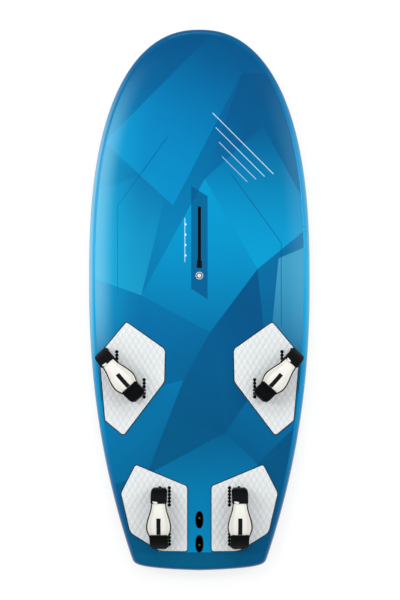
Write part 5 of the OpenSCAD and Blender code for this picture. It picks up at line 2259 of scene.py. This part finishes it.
@dataclass(frozen=True)
class FoilBox:
    """The deep foil box: a body with a tapered socket, and two oval wells for its bolts."""

    y: float = -0.875
    body: Point2 = (0.178, 0.031)
    seat: float = 0.094
    socket: Point2 = (0.164, 0.017)
    socket_top: Point2 = (0.140, 0.015)
    socket_depth: float = 0.088
    bolt: Point2 = (0.051, 0.00425)
    well_step: float = 0.0455
    well_size: Point2 = (0.060, 0.025)
    wall: float = 3.0 * MM
    oval: float = 2.3
    oval_points: int = 56

    def well(self, side: int, wall: float) -> list[Point2]:
        """Outline one well, with a wall round it."""
        points = []
        for k in range(self.oval_points):
            angle = 2 * math.pi * k / self.oval_points
            x = signed_power(math.cos(angle), 2 / self.oval) * (self.well_size[1] / 2 + wall)
            y = signed_power(math.sin(angle), 2 / self.oval) * (self.well_size[0] / 2 + wall)
            points.append((x, self.y + side * self.well_step + y))
        return points

    def build(self, finish: bpy.types.Material) -> None:
        """Mould the box."""
        box = Shell()
        box.prism(stadium(*self.body, (0, self.y), 24), 0.0, self.seat)
        for side in (-1, 1):
            collar = box.prism(self.well(side, self.wall), self.seat - 0.5 * MM, 0.110)
            for vert in collar:
                if vert.co.z > self.seat:
                    vert.co.z = FORM.deck(vert.co.x, vert.co.y) - 0.25 * MM
        box.outward().soften(0.4 * MM, 2, 60)
        piece = box.piece("foil_box_moulded")
        cutter = Shell()
        socket = cutter.prism(stadium(*self.socket, (0, 0), 24), -1 * MM, self.socket_depth)
        narrower = [top / foot for top, foot in zip(self.socket_top, self.socket)]
        taper = Matrix.Diagonal((narrower[1], narrower[0], 1, 1))
        bmesh.ops.transform(cutter.bm, matrix=taper, verts=[v for v in socket if v.co.z > 0])
        bmesh.ops.translate(cutter.bm, verts=socket, vec=(0, self.y, 0))
        carve(piece, cutter)
        wells = Shell()
        for side in (-1, 1):
            wells.prism(self.well(side, 0.0), self.seat, 0.130)
        carve(piece, wells)
        bolts = Shell()
        for side in (-1, 1):
            centre = (0, self.y + side * self.bolt[0])
            bolts.rod(self.bolt[1], self.socket_depth - 1 * MM, self.seat + 1 * MM, centre, 32)
        carve(piece, bolts)
        shade(piece, 35)
        wear(piece, finish)
        place(piece, "board", "box_plastic", "foil_box")


@dataclass
class Fittings:
    """The moulded and turned parts, taken from the frame with their edges rounded."""

    finishes: Finishes
    nodes: dict[str, bpy.types.Object]

    def _rounded(
        self, node: str, finish: bpy.types.Material, slot: str, width: float, body: str = "board"
    ) -> None:
        """Copy a node, round its edges and let the copy stand for it."""
        shell = Shell()
        shell.bm.from_mesh(self.nodes[node].data)
        shell.weld(1e-5)
        bmesh.ops.dissolve_limit(
            shell.bm, angle_limit=math.radians(0.8), verts=shell.bm.verts, edges=shell.bm.edges
        )
        shell.soften(width, 2, 35.0)
        piece = shell.piece(f"{node}_moulded")
        wear(piece, finish)
        place(piece, body, slot, node)

    def _plain(self, node: str, finish: bpy.types.Material) -> None:
        """Dress a node that keeps its own shape."""
        for slot in self.nodes[node].material_slots:
            slot.material = finish

    def build(self) -> None:
        """Dress every fitting."""
        look = self.finishes
        self._rounded("vent_housing", look.ring, "vent_plastic", 0.5 * MM)
        self._rounded("vent_screw", look.white, "vent_plastic", 0.35 * MM, "vent_screw")
        self._plain("vent_seal", look.seal)
        self._rounded("mast_track_box", look.box, "box_plastic", 0.4 * MM)
        FoilBox().build(look.box)
        self._plain("mast_track_block", look.block)
        self._plain("foil_box_block", look.block)
        self._plain("foam_core", look.core)
        for station in Station:
            for side in (-1, 1):
                name = seat_name(station, side)
                self._rounded(f"{name}_inserts", look.insert, "insert_plastic", 0.4 * MM)
                self._rounded(f"{name}_plates", look.plate, "plate_plastic", 0.3 * MM)
                self._rounded(f"{name}_screws", look.steel, "screw_steel", 0.3 * MM)


# ---------------------------------------------------------------- stage


@dataclass
class Stage:
    """The white ground, the soft light and the camera straight above the deck."""

    camera_height: float = 14.0
    deck_height: float = 0.105
    frame_height: float = 2.272
    centre: Point2 = (0.0023, 0.0025)
    ambient: float = 0.72
    ceiling: float = 0.22
    ground_half: float = 30.0
    ground_drop: float = 1.5 * MM

    def _ground(self) -> None:
        """Lay a wide white ground that keeps a faint shadow, and a painted shadow under the foil box."""
        shell = Shell()
        bmesh.ops.create_grid(shell.bm, x_segments=1, y_segments=1, size=self.ground_half)
        bmesh.ops.translate(shell.bm, verts=shell.bm.verts, vec=(0, 0, -self.ground_drop))
        ground = shell.piece("ground", soft=False)
        graph = Graph("ground_white")
        paper = graph.node("ShaderNodeBsdfDiffuse", {}, {"Color": "d2d2d2"})
        sheet = graph.node("ShaderNodeBsdfDiffuse", {}, {"Color": "949494"})
        # Painted shadow: the ground's glow is darkened under the foil box, and shows through its bolt holes.
        corners = ((-0.03, -0.99), (0.03, -0.99), (0.03, -0.77), (-0.03, -0.77))
        painted_shadow_under_box = Print(graph, graph.place()).polygon(corners, 0.01)
        shown = graph.mix(painted_shadow_under_box, "ffffff", "585858")
        glow = graph.node("ShaderNodeEmission", {}, {"Color": shown, "Strength": 0.74})
        both = graph.node("ShaderNodeAddShader", {}, {})
        graph.tree.links.new(sheet.outputs[0], both.inputs[0])
        graph.tree.links.new(glow.outputs[0], both.inputs[1])
        seen = graph.rays("Camera", "Glossy", "Transmission")
        graph.blend(seen, paper, both, "ShaderNodeOutputMaterial")
        wear(ground, graph.material)

    def _sky(self) -> None:
        """Light evenly from all round; show white to the camera, and a grey ceiling in gloss."""
        graph = Graph("studio", world=True)
        _, _, up = graph.split(graph.wire("ShaderNodeTexCoord", {}, {}, "Generated"))
        gloss = 1.0 - up.ramp(0.35, 0.93) * (1.0 - self.ceiling)
        seen = graph.rays("Camera", "Transmission")
        strength = seen + (1.0 - seen) * gloss
        white = "ffffff"
        soft = graph.node("ShaderNodeBackground", {}, {"Color": white, "Strength": self.ambient})
        shown = graph.node("ShaderNodeBackground", {}, {"Color": white, "Strength": strength})
        seen = graph.rays("Camera", "Glossy", "Transmission")
        graph.blend(seen, soft, shown, "ShaderNodeOutputWorld")
        bpy.context.scene.world = graph.material

    def _lamp(self, name: str, place_at: Sequence[float], size: Point2, power: float) -> None:
        """Hang one soft lamp that points at the board."""
        lamp = bpy.data.lights.new(name, "AREA")
        lamp.shape = "RECTANGLE"
        lamp.size, lamp.size_y = size
        lamp.energy = power
        obj = bpy.data.objects.new(name, lamp)
        obj.location = place_at
        aim = Vector((0, 0, self.deck_height)) - Vector(place_at)
        obj.rotation_euler = aim.to_track_quat("-Z", "Y").to_euler()
        bpy.context.scene.collection.objects.link(obj)

    def _camera(self) -> None:
        """Hang the camera over the middle of the deck, its top to the nose."""
        data = bpy.data.cameras.new("camera")
        drop = self.camera_height - self.deck_height
        data.lens = data.sensor_width * drop / self.frame_height
        data.clip_end = 100.0
        camera = bpy.data.objects.new("camera", data)
        camera.location = (*self.centre, self.camera_height)
        bpy.context.scene.collection.objects.link(camera)
        bpy.context.scene.camera = camera

    def build(self) -> None:
        """Set the stage."""
        self._camera()
        self._ground()
        self._sky()
        self._lamp("front_soft", (-0.2, 3.3, 3.6), (2.4, 1.6), 50.0)
        self._lamp("side_left", (-2.5, 0.5, 3.1), (0.8, 2.6), 40.0)
        self._lamp("side_right", (2.5, 0.5, 3.1), (0.8, 2.6), 30.0)
        bpy.context.scene.view_settings.view_transform = "Standard"


def main() -> None:
    """Build the board in order: camera, hull, pads, straps and fittings."""
    logging.basicConfig(level=logging.INFO, format="%(message)s")
    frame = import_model()
    stage = Stage()
    stage.build()
    finishes = Finishes()
    Hull(finishes).build(PLAN.pockets())
    for station in Station:
        for side in (1, -1):
            Pad(station, side, finishes).build()
    strap = Strap(finishes)
    strap.draft()
    for station in Station:
        for side in (1, -1):
            strap.fit(station, side)
    Fittings(finishes, frame["nodes"]).build()


if __name__ == "__main__":
    main()
